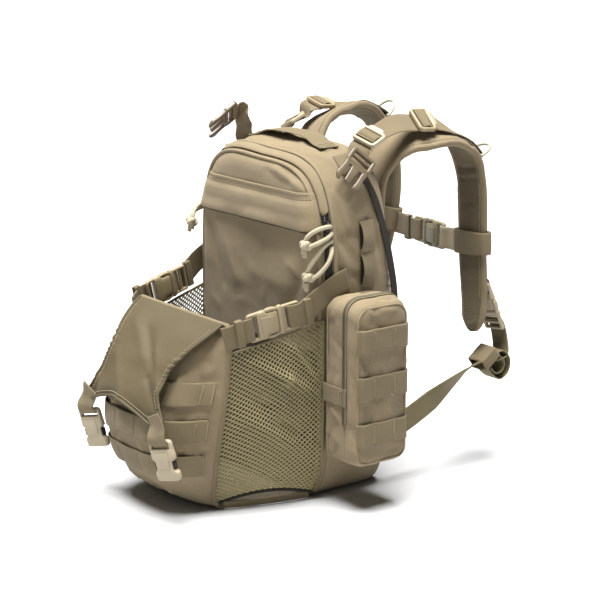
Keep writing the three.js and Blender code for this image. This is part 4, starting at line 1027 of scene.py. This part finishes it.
def pouchRings(xs):
    # rounded rectangles: four quarter turns about the corner centres
    row = tableAt(pouch["sections"], 0, xs)
    angle = np.concatenate([np.linspace(q, q + 1, 40) * np.pi / 2 for q in range(4)])
    quarter = np.repeat(np.arange(4), 40)
    wayY, wayZ = np.where((quarter == 0) | (quarter == 3), 1, -1), np.where(quarter < 2, 1, -1)
    corner = row[:, 4:5] * np.where(wayZ > 0, 0.64, 0.42)
    y = pouch["middle"][0] + wayY * (row[:, 1:2] - corner) + corner * np.cos(angle)
    z = np.where(wayZ > 0, row[:, 2:3] - corner, row[:, 3:4] + corner) + corner * np.sin(angle)
    grid = np.stack([np.broadcast_to(row[:, :1], y.shape), y, z], -1)
    return evenColumns(grid, pouch["columns"], True)


def addPouch():
    p = pouch
    middle = np.array([0, *p["middle"]])
    def capped(ring, dome, shares):
        share = np.asarray(shares)[:, None, None]
        out = mix(middle + [ring[0, 0], 0, 0], ring, share)
        out[..., 0] += dome * (1 - share[..., 0] ** 2)
        return out
    rings = pouchRings(np.r_[np.linspace(p["seam"] + seamHalf, 164, 12), np.linspace(165, 170, 8)])
    lid = np.concatenate([rings, capped(rings[-1], 1.4, np.linspace(0.96, 0.03, 26))])
    keep = smoothStep(0, 5, np.arange(len(lid)))[:, None]
    lid = wrinkled(lid, True, 1, p["folds"], 0.6, 51, keep, p["lidCreases"])
    addGrid("pouch_lid_cloth", lid, clothFinish, "cloth", wrap=True, pole=lid[-1].mean(0), thick=p["wall"],
            stands=["pouch_lid"])
    rings = pouchRings(np.linspace(p["seam"] - seamHalf, 113.5, 26))
    tray = np.concatenate([rings, capped(rings[-1], 0, np.linspace(0.9, 0.05, 8))])
    rows = np.arange(len(tray))
    keep = (smoothStep(0, 5, rows) * (rows < 22))[:, None]
    tray = wrinkled(tray, True, -1, p["folds"], 0.6, 57, keep, p["trayCreases"])
    addGrid("pouch_tray_cloth", tray, clothFinish, "cloth", wrap=True, flip=True, pole=tray[-1].mean(0),
            thick=p["wall"], stands=["pouch_tray"])
    # piping round the lid's face and along the tray
    piping = []
    for x in p["piping"]:
        line = pouchRings([x])[0]
        side = np.broadcast_to([1.0, 0, 0], line.shape)
        out = np.cross(loopTangent(line), side)
        piping.append(tubeShape(line + out * 0.6, side, -out, roundProfile(p["pipe"], p["pipe"], 0.9, 10), closed=True))
    addShape("pouch_piping", joined(piping), clothFinish, "cloth")


addPouch()


def addPouchZip():
    # the seam's upper part, from the front side over the top and down the back
    ring = pouchRings([pouch["seam"]])[0]
    angle = np.arctan2(ring[:, 2] - pouch["middle"][1], ring[:, 1] - pouch["middle"][0])
    line = ring[np.argsort(np.mod(angle + np.pi / 2, 2 * np.pi))]
    line = evenLine(line[line[:, 2] > pouch["zipLow"]], 400)
    _, side, face = pathAxes(line, (1, 0, 0))
    across, rise = np.linspace(-3.6, 3.6, 7)[:, None], np.array([0.9, 1.3, 1.6, 1.7, 1.6, 1.3, 0.9])[:, None]
    tape = line[:, None] + side[:, None] * across + face[:, None] * rise
    addGrid("pouch_zip_tape", tape, zipTanFinish, "zip", flip=True, thick=1.0, stands=["pouch_zip"])
    addCoil("pouch_zip_coil", evenLine(line, 1400), (1, 0, 0), pouchCoilFinish, **pouch["coil"])


addPouchZip()


def addPouchRows():
    # webbing rows across the lid, bowed out between the tacks and turned in at both ends
    r = pouchRow
    threads = []
    away = np.linspace(-r["reach"], r["reach"], 121)
    bow = r["bow"] * np.abs(np.cos(np.pi * away / r["bay"])) ** 0.6 * (np.abs(away) < r["flat"])
    x = r["face"] - r["drop"] * smoothStep(r["turn"], r["reach"], np.abs(away)) + bow
    for name, top in pouch["rows"]:
        z = np.linspace(top, top - r["height"], 13)[:, None]
        grid = np.stack(np.broadcast_arrays(x, pouch["middle"][0] + away, z), -1)
        out = np.broadcast_to([1.0, 0, 0], grid.shape)
        grid = grid + out * (0.3 * softNoise(grid, 24, top))[..., None]
        addGrid(f"pouch_row_{name}_web", grid, webFinish, "webbing", flip=True, thick=r["thick"],
                stands=[f"pouch_row_{name}"])
        threads += tackLines(grid, out, r["tacks"])
    addShape("pouch_row_thread", joined(threads), threadFinish, "webbing")


addPouchRows()


pouchTab = dict(near=116, long=38, top=137, base=117, y=-56.2, bow=1.2, thick=1.5, threads=(30, 33), lift=0.9)


def addPouchTab():
    # webbing from the bag across the pouch's front side to the zip's lower end
    d = pouchTab
    x = np.linspace(d["near"], d["near"] + d["long"], 40)
    y = d["y"] - d["bow"] * np.sin(np.pi * (x - d["near"]) / d["long"])
    grid = np.stack(np.broadcast_arrays(x, y, np.linspace(d["top"], d["base"], 13)[:, None]), -1)
    addGrid("pouch_tab_web", grid, webFinish, "webbing", flip=True, thick=d["thick"])
    proud = {**tack, "lift": d["lift"]}
    threads = [stitchShape(grid[1:-1, c], np.array([0, -1.0, 0]), **proud) for c in d["threads"]]
    addShape("pouch_tab_thread", joined(threads), threadFinish, "webbing")


addPouchTab()
print("pouch made")


# Moulded buckles, in a frame with X along the strap, Y across and Z out of the face
class Seat:
    def __init__(self, at, along, face):
        self.at, self.x = np.array(at, float), unit(np.array(along, float))
        out = np.array(face, float)
        self.z = unit(out - self.x * (out @ self.x))
        self.y = np.cross(self.z, self.x)

    def world(self, points):
        points = np.asarray(points, float)
        return self.at + points[..., :1] * self.x + points[..., 1:2] * self.y + points[..., 2:] * self.z


def barShape(points, halfWide, halfTall, closed=False):
    # a rounded bar along a path that lies in the buckle's plane
    line = np.array([(x, y, 0) for x, y in points], float)
    tangent = loopTangent(line) if closed else unit(np.gradient(line, axis=0))
    side = unit(np.cross(np.array([0, 0, 1.0]), tangent))
    return tubeShape(line, side, np.cross(tangent, side), roundProfile(halfWide, halfTall, 0.6, 14), closed)


def crossBar(x, reach, inner, halfWide, halfTall):
    return barShape([(x, -reach), (x, -inner), (x, inner), (x, reach)], halfWide, halfTall)


def endLoop(near, far):
    # the loop that the sewn webbing goes round
    return barShape(roundedPath([(near, 14.0), (far, 14.0), (far, -14.0), (near, -14.0)], 3.2), 1.7, 2.5)


def roundedPath(points, radius, closed=False):
    # a path with each corner cut to a curve of the given reach
    p = np.array(points, float)
    t = np.linspace(0, 1, 7)[:, None]
    out = []
    for k, (before, corner, after) in enumerate(zip(np.roll(p, 1, 0), p, np.roll(p, -1, 0))):
        if not closed and k in (0, len(p) - 1):
            out.append(corner[None])
            continue
        a, b = corner + unit(before - corner) * radius, corner + unit(after - corner) * radius
        out.append((1 - t) ** 2 * a + 2 * t * (1 - t) * corner + t**2 * b)
    return np.vstack(out)


buckle = dict(
    # rows of x, half width, half height
    housing=[(-19, 13.6, 2.6), (-18.4, 15.0, 3.4), (-17, 15.7, 3.9), (-11, 16, 4.3), (-9.6, 15.6, 4.3),
             (-8.6, 13.6, 4.2), (-7, 12.4, 4.1), (2, 12.2, 4.0), (3.6, 12.0, 3.8), (4.6, 11.0, 3.2), (4.9, 9.6, 2.6)],
    collar=[(5.3, 14.4, 2.6), (5.8, 15.6, 3.4), (6.8, 16, 3.7), (9.6, 16, 3.7), (10.8, 15.4, 3.3), (11.3, 14.2, 2.6)],
    open=[(-13, 13.6, 2.6), (-12.4, 15.0, 3.4), (-11, 15.7, 3.9), (-3, 16, 4.4), (-1.6, 15.6, 4.4), (-0.4, 13.6, 4.3),
          (1, 12.5, 4.2), (9.6, 12.5, 4.1), (11.4, 13.6, 4.2), (12.8, 15.6, 4.3), (14, 16, 4.3), (20.4, 15.6, 4.2),
          (21.6, 14.8, 3.9), (22, 14.0, 3.5), (21.6, 12.8, 2.6), (12, 12.0, 2.3)],
    guide=[(-23, 1.8, 1.2), (-22, 3.6, 2.0), (-8, 4.6, 2.2), (-2, 6, 2.5), (0, 8, 2.6)],
    palm=[(-3.5, 12, 1.8), (-2.8, 14, 2.6), (1.5, 14.6, 2.8), (2.4, 14.2, 2.2)],
    # rows of x, half width, half height and how far to the side
    button=[(-9, 0.9, 1.5, 14.0), (-8, 1.6, 2.4, 14.2), (-4, 1.9, 2.8, 14.6), (1, 1.8, 2.8, 14.2), (5, 1.5, 2.4, 13.2),
            (6, 1.2, 2.0, 13.0)],
    arm=[(-25.5, 1.2, 1.0, 9.6), (-24.5, 2.2, 1.8, 10.2), (-21, 3.4, 2.4, 11.6), (-17, 3.6, 2.6, 12.0),
         (-13, 2.9, 2.6, 11.4), (-6, 3.0, 2.6, 11.0), (0, 3.4, 2.6, 11.2)],
    window_shade=[(1.2, 1.0, 2.0, 12.3), (1.8, 1.4, 2.8, 12.3), (9, 1.4, 2.8, 12.3), (9.6, 1.0, 2.0, 12.3)],
    # rows of x, half width, half height, side and rise
    fastenedPad=[(-15, 8.5, 0.5, 0, 4.2), (-14, 9.2, 0.9, 0, 4.2), (-2, 8.2, 0.9, 0, 4.2), (0, 7.4, 0.5, 0, 4.0)],
    openPad=[(-9, 8.5, 0.5, 0, 4.3), (-8, 9.2, 0.9, 0, 4.3), (6, 8.2, 0.9, 0, 4.2), (8, 7.4, 0.5, 0, 4.1)],
    lip=[(9.0, 10, 0.8, 0, 1.4), (10.5, 11, 1.2, 0, 1.8), (13, 9.5, 1.0, 0, 2.6), (14.2, 8, 0.5, 0, 3.0)])


def sideBlock(part, s):
    return blockShape([(x, wide, tall, s * out) for x, wide, tall, out in buckle[part]], 16)


def fastenedShapes():
    # socket with its end loop, the plug's buttons in the side windows, and the plug's ladder
    shapes = [blockShape(buckle["housing"]), endLoop(-17, -28.4), blockShape(buckle["fastenedPad"])]
    for s in (1, -1):
        shapes.append(sideBlock("button", s))
        shapes.append(barShape([(10, s * 13.0), (16, s * 13.1), (22, s * 13.0), (29, s * 12.8)], 1.7, 2.4))
    shapes.append(blockShape(buckle["collar"]))
    return shapes + [crossBar(x, 13.4, 4, *size) for x, *size in ((21.2, 1.7, 2.0), (28.8, 1.6, 2.3), (12.6, 1.5, 2.2))]


def socketShapes():
    return [blockShape(buckle["open"]), endLoop(-11, -20.4), blockShape(buckle["openPad"])]


def plugShapes():
    # two hooked arms and a middle guide on a palm, behind it a ladder frame with one cross bar
    ladder = barShape(roundedPath([(1, -13), (16.5, -13), (16.5, 13), (1, 13)], 2.6, True), 2.4, 3.0, True)
    arms = [sideBlock("arm", s) for s in (1, -1)]
    return [ladder, crossBar(9, 13, 4, 1.6, 2.0), *arms, blockShape(buckle["guide"], 20),
            blockShape(buckle["palm"], 20)]


def ladderShapes():
    outline = roundedPath([(-9.8, -14.2), (9.8, -14.2), (9.8, 14.2), (-9.8, 14.2)], 3.6, True)
    return [barShape(outline, 2.0, 2.6, True), crossBar(0, 14, 5, 2.2, 2.1), blockShape(buckle["lip"], 20)]


def addBuckle(name, shapes, seat, material=plasticFinish):
    points, faces, flat = joined(shapes)
    shape = seat.world(points), faces, flat
    addShape(f"{name}_moulding", shape, material, "plastic", stands=[name], sharp=42)
    return seat


def tuckStops(seat, slotX, lead, fromEnd, near, way=1):
    # over the end bar and down through the slot, or under it and up for the other way
    side = seat.y * np.sign(seat.y @ np.array(near, float))
    dip = [(lead, 3.9), (3.5, 3.9), (0.8, 3.0), (0, 0), (0, -2.5)]
    return [(seat.world(np.array([slotX + fromEnd * back, 0, way * height])), side) for back, height in dip]


def addStrap(name, stops, material=webFinish, **rest):
    return addShape(f"{name}_web", strapShape(stops, **rest), material, "webbing", stands=[name])


def wrapShape(at, along, across, out, width, thick, length=9, wall=1.6):
    # a flat sleeve round a strap
    x, y = width / 2, thick / 2
    line = roundedPath([(-x, -y), (x, -y), (x, y), (-x, y)], min(1.4, thick * 0.45), True)
    centre = np.asarray(at) + line[:, :1] * np.asarray(across) + line[:, 1:] * np.asarray(out)
    side = np.broadcast_to(np.asarray(along, float), centre.shape)
    face = np.cross(loopTangent(centre), side)
    return tubeShape(centre, side, face, roundProfile(length / 2, wall / 2, 0.5, 10), closed=True)


# Closing straps of the cargo pocket
sideStrap = dict(at=(102, -111, 209), along=(12, 60, 12), face=(1, -0.2, -0.05), upright=(0, -0.19, 0.98),
                 front=[(86.5, -164, 194.5), (92, -157.5, 196.5)],
                 rear=[(113.8, -22, 244), (115.8, -40, 239), (115.6, -60, 229)])
# along a fastened buckle: where each webbing goes through, and how far before that it lies flat
plugEnd, socketEnd = (17, 15), (-24.5, 9)


def flipped(v, sign):
    return (v[0] * sign, v[1], v[2])


def addSideStraps():
    d = sideStrap
    up = d["upright"]
    for name, sign in sides.items():
        seat = Seat(*(flipped(d[k], sign) for k in ("at", "along", "face")))
        addBuckle(f"side_buckle_{name}", fastenedShapes(), seat)
        for part, end, way in (("front", socketEnd, -1), ("rear", plugEnd, 1)):
            stops = [(flipped(p, sign), up) for p in d[part]] + tuckStops(seat, *end, way, up)
            addStrap(f"side_strap_{part}_{name}", stops)
        keepers = [wrapShape(seat.world(np.array([x, 0, 4.2])), seat.x, seat.y, seat.z, 28.5, 4.6, 8)
                   for x in (39, -41)]
        addShape(f"side_keepers_{name}", joined(keepers), webFinish, "webbing")


addSideStraps()

# Hanging buckles of the flap
flapTab = dict(x=71, y=-233.8, width=25, z=74, lean=0.18, turn=3, slot=-16.5, sewn=[(-8, -3, 121), (-3, -1.6, 110)])


def addFlapTabs():
    d = flapTab
    for name, sign in sides.items():
        at = (sign * d["x"] + d["turn"], d["y"] + 4, d["z"])
        seat = Seat(at, (d["turn"] / 16, d["lean"], -1), (0.3, -1, -d["lean"]))
        addBuckle(f"flap_buckle_{name}", socketShapes(), seat, plasticPaleFinish)
        # painted shade: dark blocks in the socket's side windows, for the shade inside the holes
        points, faces, flat = joined([sideBlock("window_shade", s) for s in (1, -1)])
        addShape(f"flap_buckle_{name}_window", (seat.world(points), faces, flat), darkWebAndShadeFinish, "plastic")
        stops = [((sign * (d["x"] + x), d["y"] + y, z), (1, 0, 0)) for x, y, z in d["sewn"]]
        addStrap(f"flap_tab_{name}", stops + tuckStops(seat, d["slot"], 9, -1, (1, 0, 0)), width=d["width"])


addFlapTabs()
print("closing straps made")


# Shoulder pads and harness
pad = dict(
    thick=11, steps=170, around=64, keeper=(0.765, 0.815), ringPlace=dict(right=0.575, left=0.535),
    # place, width, shares of the reach and of the lift, and bank, which lowers the outer edge
    stations=[(58, 52.6, 262, 44, 0, 0, 0), (59, 53, 305, 45, 0, 0.1, 0), (62, 58, 346, 46, 0, 0.4, 0.1),
              (70, 78, 371, 46, 0.1, 0.8, 0.25), (80, 112, 379, 46, 0.4, 1, 0.35), (86, 142, 377, 46, 0.7, 1, 0.25),
              (87, 164, 360, 46, 0.9, 0.9, 0), (87, 176, 329, 46, 1, 0.6, 0), (87, 179, 288, 45, 1, 0.2, 0),
              (89, 179, 240, 43, 0.7, 0, 0), (94, 178, 195, 39, 0.3, 0, 0), (99, 174, 153, 30, 0.1, 0, 0)],
    pose=dict(right=(0, 0), left=(20, 12)),
    # creases across the inner face: place along the pad, depth, width
    creases=[(0.60, 2.6, 0.006), (0.625, -1.4, 0.01), (0.635, 2.2, 0.005), (0.70, 1.8, 0.005), (0.845, 1.2, 0.005),
             (0.47, 1.2, 0.012)],
    small=dict(count=60, reach=6, width=(3, 5), depth=(0.4, 1.1)))
dRing = dict(half=14.8, tall=22, wire=1.6)
# buckle on the pad's tip: places along the pad and heights of the webbing that holds it
tip = dict(place=0.885, gap=0.6, tilt=22, reach=30, rise=2.5, holder=((0.825, 6.6), (0.85, 6.6), (0.868, 7.4)), lead=7)
tailLow, barHeight, foldRadius = 7.5, 10.5, 3.0
lifterPose = dict(right=dict(corner=(86, 28, 388), lock=(82, 107, 399), roll=(0.77, 0, -0.64)),
                  left=dict(corner=(86, 55, 384), lock=(81, 92, 403), roll=(0.97, 0, 0.25)))
lockSlot, cornerSlope = 5.5, (0.72, 0, -0.69)
anchorStops = [(88.6, -16, 361.6), (89.2, -4, 362.8), (88.6, 8, 367)]
cornerTab = [(90.2, 8, 369), (91, -2, 367), (91, -9, 372), (89.5, -12, 387)]
lockTurn = [(-5.6, -1.6), (-4.6, 1.6), (-2.4, 3.3), (0, 3.6), (2.4, 3.3), (4.6, 1.6), (5.6, -1.6)]
cornerPlug = dict(right=((105, -3.6, 360.8), (-10, 36, 27), (0.78, -0.1, 0.5)),
                  left=((92, -36, 393.6), (0, 0.85, 0.53), (-0.78, 0.23, -0.59)))


def padPath(name):
    # centripetal curve through the stations, with the left pad reaching further and higher
    s = np.array(pad["stations"])
    reach, lift = pad["pose"][name]
    x, y, z, bank = s[:, 0] * sides[name], s[:, 1] + reach * s[:, 4], s[:, 2] + lift * s[:, 5], s[:, 6] * sides[name]
    return throughPoints(np.stack([x, y, z, s[:, 3], bank], -1), 1001)


def padAt(path, t):
    # place, direction, across and out of the pad's outer face, and width
    t = np.atleast_1d(np.asarray(t, float))
    grid = np.linspace(0, 1, len(path))
    slope = np.gradient(path[:, :3], axis=0)
    p, tangent = readAlong(t, grid, path), unit(readAlong(t, grid, slope))
    level = np.stack([np.ones(t.size), np.zeros(t.size), -p[:, 4]], -1)
    across = unit(level - tangent * (level * tangent).sum(1)[:, None])
    return p[:, :3], tangent, across, np.cross(across, tangent), p[:, 3]


def padPoint(path, t, offset):
    p, _, _, out, _ = padAt(path, t)
    return (p + out * offset)[0]


def addPads():
    for name in sides:
        path = padPath(name)
        t = np.linspace(0, 1, pad["steps"])
        p, _, across, out, width = padAt(path, t)
        walk = walked(p)
        near = np.minimum(walk * 2, walk[-1] - walk)
        blunt = np.sqrt(1 - np.clip(1 - near / 22, 0, 1) ** 2 * 0.94)
        # section: a rounded slab, grooved where the edge panel is sewn on, creased across the inner face
        angle = (np.arange(pad["around"]) + 0.5) / pad["around"] * 2 * np.pi
        u, v = signedPower(np.cos(angle), 0.5), signedPower(np.sin(angle), 0.72)
        groove = 1 - 0.2 * np.exp(-((np.abs(u) - 0.74) / 0.06) ** 2)
        tall = pad["thick"] / 2 * np.where(v > 0, 1.0, 0.92) * groove * mix(0.7, 1, blunt)[:, None]
        crease = sum(depth * np.exp(-(((t[:, None] + 0.006 * np.sin(3 * u + 9 * place)) - place) / wide) ** 2)
                     for place, depth, wide in pad["creases"])
        inner = smoothStep(0.2, 0.7, -v) * smoothStep(0.86, 0.5, np.abs(u)) * crease
        size = (blunt * width / 2)[:, None]
        grid = p[:, None] + across[:, None] * (size * u)[..., None] + out[:, None] * (v * tall + inner)[..., None]
        lift = 0.5 * softNoise(grid, 42, 61) + creased(grid, 63, **pad["small"]) * blunt[:, None]
        grid = grid + out[:, None] * lift[..., None]
        piece = addGrid(f"shoulder_pad_{name}_foam", grid, [padFinish, padNetFinish], "pad", wrap=True, caps=True,
                        stands=[f"shoulder_pad_{name}"])
        lower = np.tile((v < -0.5) & (np.abs(u) < 0.72), len(t) - 1)
        markFaces(piece, np.r_[lower, False, False])
        threads = []
        for s in (1, -1):
            for face, off in ((1, 0.83), (-1, 0.77)):
                seam = p + across * (s * 0.37 * width)[:, None] + out * (face * pad["thick"] / 2 * off)
                threads.append(stitchShape(seam[10:-14], out[10:-14] * face, wide=0.9))
        addShape(f"pad_thread_{name}", joined(threads), threadFinish, "pad")
        # keeper band round the pad
        kp, _, ka, ko, kw = padAt(path, np.linspace(*pad["keeper"], 11))
        swell = 0.5 * np.sin(np.linspace(0, np.pi, 11))[:, None]
        section = roundProfile(1, 1, 0.5, 64)
        wide, tall = (kw / 2 + 2.4)[:, None] + swell, pad["thick"] / 2 + 2.3 + swell
        keeper = (kp[:, None] + ka[:, None] * (wide * section[:, 0])[..., None]
                  + ko[:, None] * (tall * section[:, 1])[..., None])
        addGrid(f"pad_keeper_{name}_web", keeper, webFinish, "webbing", wrap=True, thick=1.6,
                stands=[f"pad_keeper_{name}"])


addPads()


def addRing(name, bar, wide, out, tangent):
    # a half-round bow on a straight bar
    angle = np.linspace(0, np.pi, 40)
    bow = np.stack([dRing["half"] * np.cos(angle), dRing["tall"] * np.sin(angle) ** 0.8], -1)
    line = np.vstack([bow, np.stack([np.linspace(-0.85, 0.85, 14) * dRing["half"], np.zeros(14)], -1)])
    line = evenLine(bar + line[:, :1] * wide + line[:, 1:] * out, 90, True)
    around = loopTangent(line)
    side = unit(np.cross(around, np.broadcast_to(tangent, around.shape)))
    section = roundProfile(dRing["wire"], dRing["wire"], 0.8, 14)
    shape = tubeShape(line, side, np.cross(around, side), section, closed=True)
    addShape(f"d_ring_{name}_moulding", shape, ringFinish, "plastic", stands=[f"d_ring_{name}"], body=f"ring_{name}")


def addLifter(name, sign, path):
    # anchor on the bag's corner, two locks, and a tail sewn along the pad to the ring's bar
    def flip(v):
        return flipped(v, sign)
    def onPad(back, offset):
        return padPoint(path, place - back, offset), padAt(path, place - back)[2][0] * sign
    slope, level = flip(cornerSlope), flip((1, 0, -0.25))
    pose, place = lifterPose[name], pad["ringPlace"][name]
    roll = flip(pose["roll"])
    p, tangent, wide, out, _ = (v[0] for v in padAt(path, place))
    bar = p + out * barHeight
    addRing(name, bar, wide, out, tangent)
    corner = Seat(flip(pose["corner"]), flip((-0.05, 0.9, 0.42)), flip((0.35, -0.35, 0.86)))
    lock = Seat(flip(pose["lock"]), flip((0.05, 1, -0.06)), flip((-pose["roll"][2], 0.06, pose["roll"][0])))
    addBuckle(f"corner_lock_{name}", ladderShapes(), corner, plasticPaleFinish)
    addBuckle(f"ladder_lock_{name}", ladderShapes(), lock)
    anchor = [(flip(v), slope) for v in anchorStops]
    addStrap(f"top_anchor_{name}", anchor + tuckStops(corner, -lockSlot, 9, -1, level, -1))
    middle = mix(np.array(pose["corner"]), np.array(pose["lock"]), 0.5) + [0, 0, 5]
    addStrap(f"lifter_strap_{name}", tuckStops(corner, lockSlot, 9, 1, level, -1)[::-1] + [(flip(middle), roll)]
             + tuckStops(lock, -lockSlot, 9, -1, roll, -1))
    fold = [bar + out * foldRadius * np.cos(a) + tangent * foldRadius * np.sin(a) for a in np.linspace(0, np.pi, 5)]
    tail = [onPad(0.1, 7.9), onPad(0.05, 9.6)] + [(q, wide * sign) for q in fold] + [onPad(0.04, tailLow)]
    addStrap(f"lifter_tail_{name}", tuckStops(lock, lockSlot, 9, 1, roll, -1)[::-1] + tail)
    # webbing over the locks' middle bars
    for lockName, seat in (("corner_lock", corner), ("ladder_lock", lock)):
        stops = [(seat.world(np.array([x, 0, z])), seat.y) for x, z in lockTurn]
        addShape(f"{lockName}_{name}_turn", strapShape(stops, 24.6, 1.5), webFinish, "webbing")


# Lower strap from the buckle to the bag's base corner: place, and direction of the width
lowerStops = [((107, 209, 124), (1, 0, 0)), ((109, 196, 117), (0.9, 0, 0.3)), ((111, 165, 117), (0.8, 0.1, 0.5)),
              ((112, 145, 109), (0.55, 0.25, 0.8)), ((113, 100, 88), (0, 0.3, 0.95)), ((111, 62, 70), (0, 0.4, 0.9)),
              ((109.4, 37, 60), (0, 0.4, 0.9))]


def addLowerStrap(name, sign, path):
    # fastened buckle that leans off the pad's tip, the webbing that holds it, and the strap
    across = (sign, 0, 0)
    p, tangent, _, out, _ = (v[0] for v in padAt(path, tip["place"]))
    lean = np.radians(tip["tilt"])
    hang, outer = tangent * np.cos(lean) + out * np.sin(lean), out * np.cos(lean) - tangent * np.sin(lean)
    middle = p + out * (pad["thick"] / 2 + tip["gap"]) + hang * tip["reach"] + outer * tip["rise"]
    low = Seat(middle, hang, outer)
    addBuckle(f"lower_buckle_{name}", fastenedShapes(), low, plasticPaleFinish)
    holder = [(padPoint(path, t, off), across) for t, off in tip["holder"]]
    holder += tuckStops(low, socketEnd[0], tip["lead"], -1, across)
    addShape(f"pad_tip_{name}_web", strapShape(holder), webFinish, "webbing")
    stops = tuckStops(low, *plugEnd, 1, across)[::-1] + [(flipped(v, sign), flipped(w, sign)) for v, w in lowerStops]
    addStrap(f"lower_strap_{name}", stops, oliveWebFinish)


# Spare webbing of the lower strap, folded into loops and held by a sleeve; loops in the plane along the strap
bundle = dict(at=(110, 181, 124), along=(0, 0.8, 0.6), size=(13, 23.5, 25),
              loops=[[(170, 112), (184, 124), (201, 130), (212, 119), (210, 104), (198, 97), (186, 104), (178, 114)],
                     [(176, 116), (189, 124), (199, 123), (204, 114), (200, 106), (191, 105), (183, 113)]])


def addBundle(name, sign):
    b = bundle
    along = unit(np.array(b["along"], float))
    shape = wrapShape(flipped(b["at"], sign), along, np.cross((1, 0, 0), along), (1, 0, 0), *b["size"], 2.0)
    addShape(f"strap_sleeve_{name}", shape, webFinish, "webbing")
    loops = [strapShape([((sign * 110, y, z), (sign, 0, 0)) for y, z in line], 21, 1.6, 60) for line in b["loops"]]
    addShape(f"strap_loops_{name}", joined(loops), oliveWebFinish, "webbing")


def addHarness():
    for name, sign in sides.items():
        path = padPath(name)
        addLifter(name, sign, path)
        at, along, face = (flipped(v, sign) for v in cornerPlug[name])
        plug = addBuckle(f"corner_buckle_{name}", plugShapes(), Seat(at, along, face), plasticBrownFinish)
        if name == "left":
            slope = flipped(cornerSlope, sign)
            stops = [(flipped(v, sign), slope) for v in cornerTab]
            addStrap("corner_tab_left", stops + tuckStops(plug, 12, 9, 1, slope))
        addLowerStrap(name, sign, path)
        addBundle(name, sign)


addHarness()

chest = dict(right=(63.6, 179, 252), left=(-63.6, 195, 252), share=0.44, up=(0, 0.1, 1), face=(-0.1, -1, 0))


def addChestStrap():
    ends = {k: np.array(chest[k], float) for k in sides}
    up = chest["up"]
    middle = mix(ends["right"], ends["left"], chest["share"])
    seat = Seat(middle, ends["left"] - ends["right"], chest["face"])
    addBuckle("chest_buckle", fastenedShapes(), seat, plasticOliveFinish)
    for name, way, end, material in (("right", -1, socketEnd, creamWebFinish), ("left", 1, plugEnd, webFinish)):
        stops = [(ends[name], up), (mix(ends[name], middle, 0.3), up)] + tuckStops(seat, *end, way, up)
        addStrap(f"chest_strap_{name}", stops, material)
    keeper = wrapShape(seat.world(np.array([41, 0, 3.6])), seat.x, seat.y, seat.z, 28.5, 5.2, 9)
    addShape("chest_keeper", keeper, webFinish, "webbing")


addChestStrap()

# Dark strap down the rear right edge: place, and how far the width leans from level
edgeStops = [((95.7, 12, 350), 0.2), ((101, 15, 340), 0.2), ((106.3, 18, 329), 0.2), ((110.6, 28, 295), 0.25),
             ((112.6, 36, 262), 0.25), ((113, 44, 215), 0.25), ((109.5, 45, 170), 0.1), ((107.6, 43, 130), 0)]
addStrap("edge_strap", [(v, (0, 1, lean)) for v, lean in edgeStops], darkWebAndShadeFinish, width=8, thick=1.6)

# Webbing channel down the bag's rear right side: tacked at three heights and bowed out between them
channel = dict(y=(-4, 15), tacks=(304, 270, 231), bow=7.0, slotY=(-5, 14), slots=((235, 266), (274, 300)))


def sidePatch(y, z, off):
    # the bag's right side over stations and heights, stood off
    half = np.stack([bagHalf(float(k), z) for k in y], -1)
    return np.stack(np.broadcast_arrays(half + off, y, z[:, None]), -1)


def addChannel():
    c = channel
    z = np.linspace(c["tacks"][0], c["tacks"][-1], 70)
    share = np.interp(z, c["tacks"][::-1], (2, 1, 0))
    bow = c["bow"] * np.abs(np.sin(np.pi * share)) ** 0.7
    grid = sidePatch(np.linspace(*c["y"], 9), z, 1.3 + bow[:, None] * np.linspace(1, 0.3, 9))
    addGrid("side_channel_web", grid, webFinish, "webbing", flip=True, thick=1.5)
    # painted shade in the two slots: dark patches on the wall under the webbing
    for k, ends in enumerate(c["slots"]):
        patch = sidePatch(np.linspace(*c["slotY"], 7), np.linspace(*ends, 24), 1.6)
        addGrid(f"side_channel_slot_shade_{k}", patch, darkWebAndShadeFinish, "webbing")


addChannel()
print("harness made")


# Floor and light: two broad suns, so the pale floor is lit evenly as far as the view reaches
studio = dict(floor=14.0, world=0.07, paper=0.5, away=3,
              # strength, the way it comes from, and spread in degrees
              lights=dict(key=(11.0, (0.06, -0.26, 2.5), 34), fill=(0.1, (0.3, -2.4, 1.4), 60)))


def addStudio():
    half = studio["floor"]
    mesh = bpy.data.meshes.new("floor")
    mesh.from_pydata([(-half, -half, 0), (half, -half, 0), (half, half, 0), (-half, half, 0)], [], [(0, 1, 2, 3)])
    floor = bpy.data.objects.new("floor", mesh)
    bpy.context.collection.objects.link(floor)
    paper = bpy.data.materials.new("paleFloor")
    paper.use_nodes = True
    shader = paper.node_tree.nodes["Principled BSDF"]
    shader.inputs["Base Color"].default_value = (studio["paper"],) * 3 + (1,)
    shader.inputs["Roughness"].default_value = 0.9
    shader.inputs["Specular IOR Level"].default_value = 0.0
    mesh.materials.append(paper)
    world = bpy.data.worlds.new("studio")
    world.use_nodes = True
    world.node_tree.nodes["Background"].inputs[0].default_value = (1, 1, 1, 1)
    world.node_tree.nodes["Background"].inputs[1].default_value = studio["world"]
    bpy.context.scene.world = world
    for name, (strength, place, spread) in studio["lights"].items():
        light = bpy.data.lights.new(name, "SUN")
        light.energy, light.angle = strength, np.radians(spread)
        back = unit(np.array(place))
        aim(bpy.data.objects.new(name, light), back * studio["away"], back)
    bpy.context.scene.view_settings.view_transform = "Standard"


addStudio()
print("studio made")
